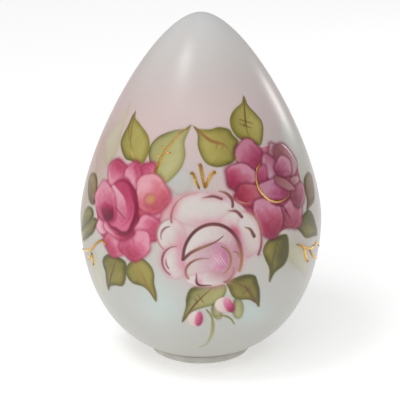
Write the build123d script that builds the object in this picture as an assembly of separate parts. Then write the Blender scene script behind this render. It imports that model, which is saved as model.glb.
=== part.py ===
"""A hollow porcelain egg on a low foot ring, with a raised enamel rose spray and raised gold.

The egg stands on Z = 0 with its axis on Z, and the spray's middle faces -Y.
Every painted motif is its own thin solid that lies on the porcelain.
A motif is drawn flat, in millimetres, on a small chart that is wrapped round the egg: u runs
round the egg to the right, v runs up the meridian, and the chart's origin is a place on the egg.
"""

import math
import os

import numpy as np
from build123d import *

# ---- the porcelain ----
EGG_HEIGHT = 127.0
EGG_RADIUS = 44.5
WIDEST_LEVEL = 51.0  # height of the widest circle above the table
CROWN_FULLNESS = 16.5  # handle lengths of the two curves that draw the egg's side
SHOULDER_FULLNESS = 24.5
BELLY_FULLNESS = 20.0
KEEL_FULLNESS = 19.0
KEEL_RISE = 22.0  # degrees above level at which the side leaves the foot
WALL = 3.0
FOOT_RADIUS = 19.0
FOOT_HEIGHT = 3.0
FOOT_WIDTH = 3.6  # radial width of the ring
FOOT_ROUNDING = 1.2
VENT_RADIUS = 2.0  # lets the air out while the hollow egg is fired

# ---- the paint ----
ENAMEL = 0.30  # thickness of a painted motif
GOLD = 0.40  # height of raised gold
PRISM_IN = 9.0  # how far a motif's cutter reaches below and above the surface
PRISM_OUT = 3.0

# Chart origins: (the line down the front or the back, distance round the egg from it, height on the egg).
# Distances and not angles, so that neighbouring motifs still meet on an egg of another girth.
FRONT_LINE = -math.pi / 2
BACK_LINE = math.pi / 2
CENTRE = (FRONT_LINE, 0.0, 40.0)
CROWN = (FRONT_LINE, 0.0, 85.0)
LEFT = (FRONT_LINE, -29.4, 55.0)
RIGHT = (FRONT_LINE, 28.9, 60.0)
FAR_LEFT = (FRONT_LINE, -52.6, 55.0)
FAR_RIGHT = (FRONT_LINE, 52.6, 55.0)
BACK = (BACK_LINE, 0.0, 52.0)

# Rose outlines: closed smooth curves through these (u, v) points
ROSES = {
    "rose_left": (
        LEFT,
        [
            (-10.8, 24.6), (-5.5, 25.2), (1.0, 26.2), (6.0, 25.2), (11.0, 22.2),
            (15.2, 17.0), (15.6, 13.0), (14.9, 8.0), (14.8, 2.0), (11.6, -2.2),
            (8.6, -6.0), (4.4, -8.0), (0.2, -5.8), (-4.0, -7.6), (-8.2, -3.6),
            (-12.6, 0.8), (-15.4, 6.0), (-15.3, 13.0), (-11.6, 17.4), (-11.8, 22.0),
        ],
    ),
    "rose_centre": (
        CENTRE,
        [
            (-9.8, 27.0), (-6.2, 31.2), (0.0, 33.0), (6.0, 33.3), (10.4, 29.6),
            (15.8, 27.0), (20.0, 21.5), (21.6, 16.0), (19.2, 10.8), (15.0, 9.0),
            (13.8, 5.2), (9.0, 1.6), (3.6, 0.3), (-1.4, 0.8), (-6.2, 2.8),
            (-11.6, 3.6), (-13.2, 8.0), (-14.8, 15.0), (-13.6, 21.2), (-9.6, 23.2),
        ],
    ),
    "rose_right": (
        RIGHT,
        [
            (-11.6, 24.6), (-6.6, 29.4), (-1.6, 25.4), (3.6, 27.0), (10.0, 24.2),
            (14.2, 17.4), (15.8, 9.0), (13.0, 2.4), (8.0, -2.8), (4.8, -4.1),
            (1.2, -3.0), (-3.0, -4.8), (-7.4, -2.8), (-9.9, 3.4), (-12.0, 7.6),
            (-15.6, 10.2), (-17.4, 15.0), (-15.2, 20.6),
        ],
    ),
}

# Leaves: chart, base point, tip point, sideways bend of the midrib, half width on its left and right
LEAVES = {
    "leaf_left_tall": (LEFT, (1.8, 26.2), (-6.4, 43.6), 1.6, 5.8, 6.2),
    "leaf_left_gilded": (CROWN, (-15.8, -8.6), (-3.8, 9.0), 1.5, 5.8, 7.6),
    "leaf_left_low_outer": (LEFT, (-4.2, -7.2), (-9.6, -22.6), 0.6, 5.4, 5.4),
    "leaf_left_low_inner": (LEFT, (4.8, -7.0), (12.6, -21.8), 1.2, 6.2, 5.2),
    "leaf_right_inner": (CROWN, (11.6, -0.8), (-2.4, 8.9), -1.5, 5.6, 5.6),
    "leaf_right_tall": (CROWN, (18.6, 2.0), (15.5, 18.2), -1.4, 6.6, 5.6),
    "leaf_right_low": (RIGHT, (-0.6, -4.4), (-3.8, -20.6), 0.4, 5.0, 5.0),
    "leaf_bud_left": (CENTRE, (5.2, 0.0), (-6.2, -15.0), 0.8, 4.6, 5.4),
    "leaf_bud_right": (CENTRE, (8.6, 1.6), (21.0, -10.2), 1.4, 5.8, 5.8),
    "leaf_side_left_high": (FAR_LEFT, (6.2, 9.6), (-9.0, 15.0), 1.0, 4.8, 4.8),
    "leaf_side_left_middle": (FAR_LEFT, (6.4, 4.6), (-8.6, -5.0), 0.6, 4.2, 4.2),
    "leaf_side_left_low": (FAR_LEFT, (9.4, 2.2), (-5.0, -8.4), 0.8, 3.2, 3.2),
    "leaf_side_right_high": (FAR_RIGHT, (-6.4, 8.6), (8.6, 15.8), -1.0, 4.8, 4.8),
    "leaf_side_right_low": (FAR_RIGHT, (-13.6, 3.0), (7.4, -6.8), -0.8, 4.6, 4.6),
    "leaf_back_high_left": (BACK, (-6.0, 14.4), (-15.0, 27.0), 1.2, 5.4, 5.4),
    "leaf_back_high_right": (BACK, (6.0, 14.4), (15.0, 27.0), -1.2, 5.4, 5.4),
    "leaf_back_low_left": (BACK, (-7.6, -10.8), (-18.0, -21.0), -1.0, 5.2, 5.2),
    "leaf_back_low_right": (BACK, (7.6, -10.8), (18.0, -21.0), 1.0, 5.2, 5.2),
}
LEAF_PEAK = 0.42  # where along its length a leaf is widest

# Round motifs, the buds and the back rose: chart, centre, half length, half width, tilt of the long axis in degrees
ROUNDS = {
    "rose_back": (BACK, (0.0, 1.2), 15.2, 14.8, 0.0),
    "bud_left": (CENTRE, (-1.4, -13.6), 3.6, 2.6, 80.0),
    "bud_right": (CENTRE, (8.6, -7.6), 3.6, 2.8, 120.0),
    "bud_back": (BACK, (0.0, -17.6), 3.6, 2.8, 90.0),
}

# Brush strokes: chart, points along the stroke, width at the middle
STEMS = {
    "tendril_long": (CENTRE, [(2.4, -9.4), (4.2, -14.6), (4.0, -20.4), (2.6, -25.4), (-0.2, -29.4)], 0.9),
    "tendril_short": (CENTRE, [(5.2, -12.6), (8.0, -13.0), (10.4, -14.6), (11.8, -17.0)], 0.8),
}
GOLD_ON_GLAZE = {
    "gold_sprig_centre": (
        CROWN,
        [
            ([(-3.0, -7.6), (-1.9, -9.6), (-0.7, -12.0)], 1.0),
            ([(-0.3, -5.0), (0.1, -8.0), (0.9, -11.6)], 1.2),
            ([(4.2, -7.2), (2.8, -8.6), (2.0, -11.8)], 1.0),
        ],
    ),
    "gold_sprig_left": (
        FAR_LEFT,
        [
            ([(13.2, -3.6), (8.6, -6.6), (3.0, -10.6)], 1.0),
            ([(-5.6, -12.6), (-2.0, -11.8), (2.0, -11.6)], 1.0),
            ([(-0.4, -15.2), (2.4, -13.8), (4.4, -12.0)], 0.9),
        ],
    ),
    "gold_sprig_right": (
        FAR_RIGHT,
        [
            ([(-15.2, -5.2), (-10.0, -10.0), (-5.6, -14.4)], 1.0),
            ([(-13.0, -4.6), (-6.0, -8.0), (2.0, -10.6)], 0.9),
            ([(-5.2, -9.8), (-1.0, -13.2), (4.0, -15.6)], 1.0),
        ],
    ),
}
GOLD_ON_ENAMEL = {
    "gold_vein_leaf": (CROWN, [([(-15.0, -7.0), (-12.6, -1.6), (-8.6, 4.0), (-5.4, 7.0)], 0.9)]),
    "gold_edge_rose_right": (
        RIGHT,
        [
            (
                [(-3.4, 21.4), (-6.2, 18.0), (-6.9, 14.4), (-5.4, 10.6), (-1.6, 7.6), (3.0, 7.0), (7.0, 9.0)],
                0.9,
            )
        ],
    ),
}


def bezier_points(controls, steps):
    """Points along a cubic Bezier curve, evenly spaced in its parameter."""
    t = np.linspace(0, 1, steps)[:, None]
    p = np.array(controls, float)
    return (1 - t) ** 3 * p[0] + 3 * (1 - t) ** 2 * t * p[1] + 3 * (1 - t) * t**2 * p[2] + t**3 * p[3]


def side_controls():
    """Control points (radius, height) of the lower and the upper curve of the egg's side."""
    rise = math.radians(KEEL_RISE)
    lower = [
        (FOOT_RADIUS, FOOT_HEIGHT),
        (FOOT_RADIUS + KEEL_FULLNESS * math.cos(rise), FOOT_HEIGHT + KEEL_FULLNESS * math.sin(rise)),
        (EGG_RADIUS, WIDEST_LEVEL - BELLY_FULLNESS),
        (EGG_RADIUS, WIDEST_LEVEL),
    ]
    upper = [
        (EGG_RADIUS, WIDEST_LEVEL),
        (EGG_RADIUS, WIDEST_LEVEL + SHOULDER_FULLNESS),
        (CROWN_FULLNESS, EGG_HEIGHT),
        (0, EGG_HEIGHT),
    ]
    return lower, upper


MERIDIAN = np.vstack([bezier_points(c, 400)[:-1] for c in side_controls()])
MERIDIAN_LENGTH = np.concatenate([[0], np.cumsum(np.hypot(*np.diff(MERIDIAN, axis=0).T))])


def on_egg(chart, u, v):
    """The point of the egg's surface at (u, v) on a chart."""
    line, distance, height = chart
    girth_radius = np.interp(height, MERIDIAN[:, 1], MERIDIAN[:, 0])
    along = np.interp(height, MERIDIAN[:, 1], MERIDIAN_LENGTH) + v
    radius = float(np.interp(along, MERIDIAN_LENGTH, MERIDIAN[:, 0]))
    z = float(np.interp(along, MERIDIAN_LENGTH, MERIDIAN[:, 1]))
    angle = line + distance / girth_radius + u / radius
    return Vector(radius * math.cos(angle), radius * math.sin(angle), z)


def tangent_plane(chart, u, v):
    """A plane that touches the egg at (u, v), with its x to the right and its z outwards."""
    step = 0.05
    right = on_egg(chart, u + step, v) - on_egg(chart, u - step, v)
    up = on_egg(chart, u, v + step) - on_egg(chart, u, v - step)
    return Plane(origin=on_egg(chart, u, v), x_dir=right, z_dir=right.cross(up))


def side_edges(outward):
    """The egg's side as edges in the XZ plane, moved outwards by a distance, from the foot to the crown."""
    if outward == 0:
        return [Bezier(*[(r, 0, z) for r, z in c]) for c in side_controls()]
    edges = []
    for controls in side_controls():
        p = bezier_points(controls, 25)
        along = np.gradient(p, axis=0)
        along[0] = np.subtract(controls[1], controls[0])
        along[-1] = np.subtract(controls[3], controls[2])
        along /= np.hypot(*along.T)[:, None]
        moved = p + outward * np.column_stack([along[:, 1], -along[:, 0]])
        ends = [(along[i][0], 0, along[i][1]) for i in (0, -1)]
        edges.append(Spline(*[(r, 0, z) for r, z in moved], tangents=ends))
    return edges


def egg_solid(outward, floor):
    """A solid egg whose side is moved outwards and whose flat base is at height floor."""
    side = side_edges(outward)
    foot, crown = side[0] @ 0, side[-1] @ 1
    corner = (foot.X, 0, floor)
    closing = [Line(crown, (0, 0, floor)), Line((0, 0, floor), corner)]
    if abs(foot.Z - floor) > 1e-6:
        closing.append(Line(corner, foot))
    return revolve(make_face(Wire([*side, *closing])), Axis.Z)


def egg_body():
    """The slip-cast shell: an even wall, a flat floor and a vent hole in its middle."""
    outer = egg_solid(0, FOOT_HEIGHT)
    inside_top = FOOT_HEIGHT + WALL
    inner = egg_solid(-WALL, FOOT_HEIGHT) & Pos(0, 0, inside_top) * Cylinder(
        2 * EGG_RADIUS, EGG_HEIGHT, align=(Align.CENTER, Align.CENTER, Align.MIN)
    )
    vent = Cylinder(VENT_RADIUS, 4 * WALL + 2 * FOOT_HEIGHT)
    return outer - inner - vent


def foot_ring():
    """The ring the egg stands on, stuck to the floor's underside, with a rounded outer lower edge."""
    ring = Cylinder(FOOT_RADIUS, FOOT_HEIGHT, align=(Align.CENTER, Align.CENTER, Align.MIN))
    ring = fillet(ring.edges().sort_by(Axis.Z)[:1], FOOT_ROUNDING)
    return ring - Cylinder(FOOT_RADIUS - FOOT_WIDTH, 3 * FOOT_HEIGHT)


def prism(chart, outline, corners=()):
    """A cutter with a wrapped outline: smooth between the points, and sharp at the listed ones."""
    u, v = np.mean([np.max(outline, axis=0), np.min(outline, axis=0)], axis=0)
    plane = tangent_plane(chart, u, v)
    flat = [plane.to_local_coords(on_egg(chart, *p)) for p in outline]
    flat = [(p.X, p.Y) for p in flat]
    if corners:
        stops = [*corners, len(flat)]
        loop = [*flat, flat[0]]
        edges = [Spline(*loop[a : b + 1]) for a, b in zip(stops, stops[1:])]
    else:
        edges = [Spline(*flat, periodic=True)]
    face = plane * make_face(Wire(edges))
    return extrude(face, PRISM_OUT, dir=plane.z_dir) + extrude(face, PRISM_IN, dir=-plane.z_dir)


def leaf_outline(base, tip, bend, left, right):
    """A leaf's edge: half widths rise and fall along a bent midrib, from the base round to the base again."""
    base, tip = np.array(base), np.array(tip)
    along = tip - base
    side = np.array([-along[1], along[0]]) / np.hypot(*along)
    s = np.linspace(0, 1, 6)[:, None]
    rib = base + along * s + side * bend * 4 * s * (1 - s)
    power = math.log(0.5) / math.log(LEAF_PEAK)
    width = np.sin(math.pi * s**power)
    edge_left = rib + side * left * width
    edge_right = rib - side * right * width
    return [tuple(p) for p in np.vstack([edge_left, edge_right[-2:0:-1]])]


def leaf_prism(chart, base, tip, bend, left, right):
    outline = leaf_outline(base, tip, bend, left, right)
    return prism(chart, outline, corners=(0, len(outline) // 2))


def round_prism(chart, centre, half_length, half_width, tilt):
    """A round motif is an ellipse on the chart."""
    turn = math.radians(tilt)
    outline = []
    for a in np.radians(range(0, 360, 45)):
        x, y = half_length * math.cos(a), half_width * math.sin(a)
        outline.append(
            (
                centre[0] + x * math.cos(turn) - y * math.sin(turn),
                centre[1] + x * math.sin(turn) + y * math.cos(turn),
            )
        )
    return prism(chart, outline)


def stroke_prism(chart, points, width):
    """A brush stroke that is widest at its middle and ends in two blunt points."""
    p = np.array(points, float)
    along = np.gradient(p, axis=0)
    side = np.column_stack([-along[:, 1], along[:, 0]]) / np.hypot(*along.T)[:, None]
    swell = np.sin(np.linspace(0, math.pi, len(p)))[:, None]
    half = width / 2 * swell
    outline = np.vstack([p + side * half, (p - side * half)[-2:0:-1]])
    return prism(chart, [tuple(q) for q in outline], corners=(0, len(p) - 1))


def strokes_prism(chart, strokes):
    solid = stroke_prism(chart, *strokes[0])
    for stroke in strokes[1:]:
        solid += stroke_prism(chart, *stroke)
    return solid


def tidy(node):
    """The node as one solid, or as a compound when it is several separate strokes."""
    solids = node.solids()
    if len(solids) == 1:
        return solids[0]
    return Compound(children=list(solids))


def main():
    os.makedirs("parts", exist_ok=True)
    bare = egg_solid(0, FOOT_HEIGHT)
    painted = egg_solid(ENAMEL, FOOT_HEIGHT)
    enamel_coat = painted - bare
    gold_coat = egg_solid(GOLD, FOOT_HEIGHT) - bare
    gold_over_enamel = egg_solid(ENAMEL + GOLD, FOOT_HEIGHT) - painted

    # What is painted later lies over what came before, so each motif stops where a later one starts.
    cutters = {name: leaf_prism(*leaf) for name, leaf in LEAVES.items()}
    cutters |= {name: stroke_prism(*stem) for name, stem in STEMS.items()}
    cutters |= {name: round_prism(*motif) for name, motif in ROUNDS.items()}
    cutters |= {name: prism(chart, outline) for name, (chart, outline) in ROSES.items()}
    gold = {name: strokes_prism(*strokes) for name, strokes in GOLD_ON_GLAZE.items()}
    names = list(cutters)

    nodes = {"egg_body": egg_body(), "foot_ring": foot_ring()}
    for i, name in enumerate(names):
        motif = enamel_coat & cutters[name]
        for over in [*(cutters[n] for n in names[i + 1 :]), *gold.values()]:
            if motif.bounding_box().overlaps(over.bounding_box()):
                motif -= over
        nodes[name] = motif
    for name, cutter in gold.items():
        nodes[name] = gold_coat & cutter
    for name, strokes in GOLD_ON_ENAMEL.items():
        nodes[name] = gold_over_enamel & strokes_prism(*strokes)

    for name, node in nodes.items():
        export_step(tidy(node), f"parts/{name}.step")


main()
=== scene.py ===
# %% [markdown]
# # A porcelain egg painted with roses
# The real object is a slip-cast porcelain egg on a low foot ring. A painter has washed it with thin
# colour, laid roses and leaves over the washes, and added touches of raised gold. Each layer is fired on.
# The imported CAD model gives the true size, so it is loaded first and everything is built round it.

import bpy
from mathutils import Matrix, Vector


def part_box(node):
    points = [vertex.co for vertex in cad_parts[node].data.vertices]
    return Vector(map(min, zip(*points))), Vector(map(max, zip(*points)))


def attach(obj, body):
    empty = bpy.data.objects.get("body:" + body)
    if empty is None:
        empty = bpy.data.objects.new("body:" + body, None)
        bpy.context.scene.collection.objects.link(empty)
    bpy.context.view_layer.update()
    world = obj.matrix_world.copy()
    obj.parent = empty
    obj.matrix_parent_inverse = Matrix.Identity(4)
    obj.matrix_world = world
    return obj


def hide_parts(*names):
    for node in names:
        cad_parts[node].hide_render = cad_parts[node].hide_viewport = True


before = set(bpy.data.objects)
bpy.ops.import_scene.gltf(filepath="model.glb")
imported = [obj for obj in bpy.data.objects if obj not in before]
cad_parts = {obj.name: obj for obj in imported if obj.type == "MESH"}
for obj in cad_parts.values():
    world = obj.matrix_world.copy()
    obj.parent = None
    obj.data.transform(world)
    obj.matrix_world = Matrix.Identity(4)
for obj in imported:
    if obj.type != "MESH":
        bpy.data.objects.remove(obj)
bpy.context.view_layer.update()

import math

import bpy
import numpy as np
from mathutils import Euler, Vector

print("nodes in the frame:", len(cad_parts))

# %% [markdown]
# ## Measures
# All shapes below are worked out in millimetres and turned to metres when a mesh is made. The overall
# sizes are read from the CAD nodes. The handles are the lengths that make the egg's side full or slim.

# %% Sizes
MM = 0.001
_, body_high = (np.array(corner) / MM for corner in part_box("egg_body"))
_, foot_high = (np.array(corner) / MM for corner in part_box("foot_ring"))
EGG_TOP = body_high[2]
EGG_RADIUS = body_high[0]
FOOT_TOP = foot_high[2]
FOOT_RADIUS = foot_high[0]
WIDEST_LEVEL = 51.0
CROWN_FULLNESS = 16.5
SHOULDER_FULLNESS = 24.5
BELLY_FULLNESS = 20.0
KEEL_FULLNESS = 19.0
KEEL_RISE = math.radians(22)
WALL = 3.0
FOOT_WIDTH = 3.6
VENT_RADIUS = 2.0
print("height, radius, foot radius in mm:", EGG_TOP.round(2), EGG_RADIUS.round(2), FOOT_RADIUS.round(2))

# %% [markdown]
# ## The egg's side as a function
# A surface of revolution needs only its side: the radius and the height at each length along the side
# from the foot. Two cubic Bezier curves that meet at the widest circle give a side with no flat spot.
# A table of closely spaced points then turns "length along the side" into radius, height and the
# direction that points straight out of the glaze.


# %% Side curves
def bezier(p0, p1, p2, p3, steps=1500):
    """(1-t)^3 p0 + 3 (1-t)^2 t p1 + 3 (1-t) t^2 p2 + t^3 p3, for t from 0 to 1."""
    t = np.linspace(0, 1, steps)[:, None]
    p0, p1, p2, p3 = (np.array(p, float) for p in (p0, p1, p2, p3))
    return (1 - t) ** 3 * p0 + 3 * (1 - t) ** 2 * t * p1 + 3 * (1 - t) * t**2 * p2 + t**3 * p3


keel_handle = (
    FOOT_RADIUS + KEEL_FULLNESS * math.cos(KEEL_RISE),
    FOOT_TOP + KEEL_FULLNESS * math.sin(KEEL_RISE),
)
lower_side = bezier(
    (FOOT_RADIUS, FOOT_TOP), keel_handle, (EGG_RADIUS, WIDEST_LEVEL - BELLY_FULLNESS),
    (EGG_RADIUS, WIDEST_LEVEL)
)
upper_side = bezier(
    (EGG_RADIUS, WIDEST_LEVEL), (EGG_RADIUS, WIDEST_LEVEL + SHOULDER_FULLNESS), (CROWN_FULLNESS, EGG_TOP),
    (0, EGG_TOP)
)
side = np.vstack([lower_side[:-1], upper_side])
side_direction = np.gradient(side, axis=0)
side_direction[-1] = (-1, 0)
side_direction /= np.hypot(*side_direction.T)[:, None]
side_outward = np.column_stack([side_direction[:, 1], -side_direction[:, 0]])
side_length = np.concatenate([[0], np.cumsum(np.hypot(*np.diff(side, axis=0).T))])
SIDE_END = side_length[-1]
print("length of the side from foot to crown in mm:", SIDE_END.round(1))


# %% Places on the glaze
def read_side(along, table):
    """The value of a table of the side at a length up the side."""
    return np.interp(along, side_length, table)


def on_glaze(azimuth, along, lift=0.0):
    """The point at an azimuth (0 at the front) and a length up the side, moved out along the normal."""
    radius = read_side(along, side[:, 0]) + lift * read_side(along, side_outward[:, 0])
    height = read_side(along, side[:, 1]) + lift * read_side(along, side_outward[:, 1])
    return np.column_stack([radius * np.sin(azimuth), -radius * np.cos(azimuth), height])


def length_at(height):
    """The length up the side at a height."""
    return np.interp(height, side[:, 1], side_length)


# A chart is a flat drawing sheet wrapped on the egg: (degrees round from the front, height in mm).
CENTRE = (0, 40)
CROWN = (0, 85)
LEFT = (-38, 55)
RIGHT = (38, 60)
FAR_LEFT = (-68, 55)
FAR_RIGHT = (68, 55)
BACK = (180, 52)


def from_chart(chart, uv):
    """u runs round the egg and v up its side: azimuth = the chart's + u / radius, along = the chart's + v."""
    along = length_at(chart[1]) + uv[:, 1]
    return math.radians(chart[0]) + uv[:, 0] / read_side(along, side[:, 0]), along


def to_chart(chart, azimuth, along):
    """The inverse of from_chart, with the azimuth taken the short way round."""
    turn = (azimuth - math.radians(chart[0]) + math.pi) % (2 * math.pi) - math.pi
    return np.column_stack([turn * read_side(along, side[:, 0]), along - length_at(chart[1])])


# %% [markdown]
# ## Tools for painting with arrays
# The decoration is soft and layered, so it is painted as a painter does it: from the washes up, each mark
# covering a little of what is under it. A canvas holds, for many places on the egg at once, a colour and
# how thick the paint is. A mark is a function that changes both. The same list of marks paints every
# piece, so two pieces that meet always agree.


# %% Colours and curves
def srgb(code):
    return np.array([int(code[i : i + 2], 16) for i in (1, 3, 5)]) / 255


def linear(colour):
    """sRGB to linear light: c / 12.92 for dark values, and ((c + 0.055) / 1.055) to the power 2.4 above."""
    colour = np.clip(colour, 0, 1)
    return np.where(colour < 0.04045, colour / 12.92, ((colour + 0.055) / 1.055) ** 2.4)


def ease(x, start=0.0, end=1.0):
    """3 t^2 - 2 t^3, where t goes from 0 at start to 1 at end."""
    t = np.clip((x - start) / (end - start), 0, 1)
    return t * t * (3 - 2 * t)


def ramp(colours, t):
    """The colour at t on an even row of colours, blended between neighbours."""
    table = np.array([srgb(code) for code in colours])
    stops = np.linspace(0, 1, len(table))
    return np.column_stack([np.interp(t, stops, table[:, i]) for i in range(3)])


def curve(points, closed=False, per_span=9):
    """A Catmull-Rom curve: each span is a cubic whose slope at a point follows its two neighbours."""
    p = np.array(points, float)
    if closed:
        ring = np.vstack([p[-1:], p, p[:2]])
    else:
        ring = np.vstack([2 * p[:1] - p[1:2], p, 2 * p[-1:] - p[-2:-1]])
    a, b, c, d = (ring[i : len(ring) - 3 + i, None] for i in range(4))
    t = np.linspace(0, 1, per_span, endpoint=False)[None, :, None]
    spans = 0.5 * (2 * b + (c - a) * t + (2 * a - 5 * b + 4 * c - d) * t**2 + (3 * b - a - 3 * c + d) * t**3)
    line = spans.reshape(-1, 2)
    return line if closed else np.vstack([line, p[-1:]])


# %% Distances
def nearest(uv, line):
    """Distance to a line of short runs, the share of its length at the nearest place, and the side."""
    start, run = line[:-1], np.diff(line, axis=0)
    run_squared = (run**2).sum(1) + 1e-12
    gap = uv[:, None] - start
    t = np.clip((gap * run).sum(2) / run_squared, 0, 1)
    distance_squared = ((gap - t[..., None] * run) ** 2).sum(2)
    best = distance_squared.argmin(1)
    rows = np.arange(len(uv))
    lengths = np.sqrt(run_squared)
    before = np.concatenate([[0], np.cumsum(lengths)])
    share = (before[best] + t[rows, best] * lengths[best]) / before[-1]
    to_point = gap[rows, best]
    turn = run[best, 0] * to_point[:, 1] - run[best, 1] * to_point[:, 0]
    return np.sqrt(distance_squared[rows, best]), share, np.sign(turn)


def depth_inside(uv, loop):
    """Distance to a closed line, above 0 inside it. A point is inside if a level ray crosses the line an odd
    number of times."""
    closed = np.vstack([loop, loop[:1]])
    distance = nearest(uv, closed)[0]
    x, y = uv[:, :1], uv[:, 1:]
    (x1, y1), (x2, y2) = closed[:-1].T, closed[1:].T
    rise = np.where(y2 == y1, 1e-9, y2 - y1)
    crossed = ((y1 > y) != (y2 > y)) & (x < x1 + (x2 - x1) * (y - y1) / rise)
    return np.where(crossed.sum(1) % 2 == 1, distance, -distance)


# %% Bristle marks
LATTICE = np.random.default_rng(11).random((97, 97))


def noise(x, y):
    """Random values on a lattice, blended smoothly in between. The result runs from -1 to 1."""
    column, row = np.floor(x).astype(int), np.floor(y).astype(int)
    across, up = ease(x - column), ease(y - row)
    corner = [LATTICE[(column + i) % 97, (row + j) % 97] for i, j in ((0, 0), (1, 0), (0, 1), (1, 1))]
    low = corner[0] * (1 - across) + corner[1] * across
    high = corner[2] * (1 - across) + corner[3] * across
    return 2 * (low * (1 - up) + high * up) - 1


def bristles(uv, heart):
    """Streaks that fan out from a heart: the noise is long along each ray and narrow across it."""
    ray = uv - np.array(heart, float)
    far = np.hypot(*ray.T)
    around = np.arctan2(ray[:, 1], ray[:, 0]) * 9.0
    return 0.65 * noise(far / 4.5 + 31, around / 0.55 + 47) + 0.35 * noise(far / 1.8, around / 1.3 + 11)


# %% [markdown]
# ## The four kinds of mark
# A glow is a soft wash. A petal is a shape filled with a graded colour, with bristle marks and an edge
# where paint gathers. A stroke is a line that swells and thins with the brush's pressure. A leaf is a
# petal with a midrib. Each one only touches the places near it.


# %% Marks
def blank_canvas(azimuth, along):
    """Places on the glaze with no colour and no lift yet."""
    return {"azimuth": azimuth, "along": along, "colour": np.zeros((len(azimuth), 3)),
            "lift": np.zeros(len(azimuth))}


def near(canvas, chart, points, margin):
    """Which places lie within a margin of the points' box, and where they are on the chart."""
    uv = to_chart(chart, canvas["azimuth"], canvas["along"])
    low, high = np.min(points, axis=0) - margin, np.max(points, axis=0) + margin
    rows = np.flatnonzero(((uv > low) & (uv < high)).all(1))
    return rows, uv[rows]


def lay(canvas, rows, colour, weight, lift=0.0):
    """Blends a colour in by weight, and raises the paint to lift where that is higher."""
    weight = np.clip(weight, 0, 1)
    canvas["colour"][rows] += (colour - canvas["colour"][rows]) * weight[:, None]
    canvas["lift"][rows] = np.maximum(canvas["lift"][rows], lift * weight)


def glow(chart, centre, size, code, strength=0.6, turn=0.0):
    """strength x exp(-(x/width)^2 - (y/height)^2), turned about the centre."""

    def mark(canvas):
        rows, uv = near(canvas, chart, [centre], 2.5 * max(size))
        x, y = (uv - np.array(centre)).T
        c, s = math.cos(math.radians(turn)), math.sin(math.radians(turn))
        reach = ((x * c + y * s) / size[0]) ** 2 + ((y * c - x * s) / size[1]) ** 2
        mottle = 1 + 0.18 * noise(uv[:, 0] / 4 + 9, uv[:, 1] / 4 + 5)
        lay(canvas, rows, srgb(code), strength * np.exp(-reach) * mottle)

    return mark


def petal(chart, outline, tones, dark, light, soft=0.22, opacity=1.0, grain=0.14, edge=None, edge_width=0.32,
          shade=None, shade_width=0.5, lift=0.12, heart=None, lip=0.0, blotch=0.1):
    """Filled by how far each place lies from dark to light, with streaks and blotches.

    A thin dark edge lies on the outline, a light lip just inside it where the paint pooled, and a
    shade outside it.
    """
    loop = curve(outline, closed=True)
    dark, light = np.array(dark, float), np.array(light, float)
    way = light - dark

    def mark(canvas):
        rows, uv = near(canvas, chart, loop, 3 * shade_width + soft)
        depth = depth_inside(uv, loop)
        if shade:
            lay(canvas, rows, srgb(shade[0]), shade[1] * np.exp(-((np.minimum(depth, 0) / shade_width) ** 2)))
        streak = bristles(uv, dark if heart is None else heart)
        wet = noise(uv[:, 0] / 1.7 + 23, uv[:, 1] / 1.7 + 61) + 0.6 * noise(uv[:, 0] / 0.8 + 7,
                                                                            uv[:, 1] / 0.8 + 3)
        t = (uv - dark) @ way / (way @ way) + grain * streak + blotch * wet
        t = t + lip * np.exp(-(((depth - 0.9) / 0.55) ** 2))
        colour = ramp(tones, t)
        if edge:
            broken = 0.75 + 0.35 * noise(uv[:, 0] / 2.6 + 71, uv[:, 1] / 2.6 + 33)
            band = edge[1] * broken * np.exp(-((depth / edge_width) ** 2))
            colour = colour + (srgb(edge[0]) - colour) * np.clip(band, 0, 1)[:, None]
        cover = opacity * ease(depth, -soft, soft)
        lay(canvas, rows, colour, cover, lift * (1 + 0.12 * streak) * ease(depth, -soft, 1.2))

    return mark


def stroke(chart, points, width, codes, soft=0.22, opacity=0.9, press=(0.15, 0.6), lift=0.16):
    """A line whose half width goes from press[0] at its start, through 1, to press[1] at its end."""
    line = curve(points)

    def mark(canvas):
        rows, uv = near(canvas, chart, line, width + 2 * soft)
        distance, share, _ = nearest(uv, line)
        swell = np.interp(share, (0, 0.45, 1), (press[0], 1, press[1]))
        half = width / 2 * swell
        cover = opacity * ease(half - distance, -soft, soft)
        lay(canvas, rows, ramp(codes, share), cover, lift)

    return mark


LEAF_TONES = ("#4F4A16", "#776E2C", "#938840", "#A79B52", "#BDB06C")
VEIN = "#6A4C22"


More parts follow.
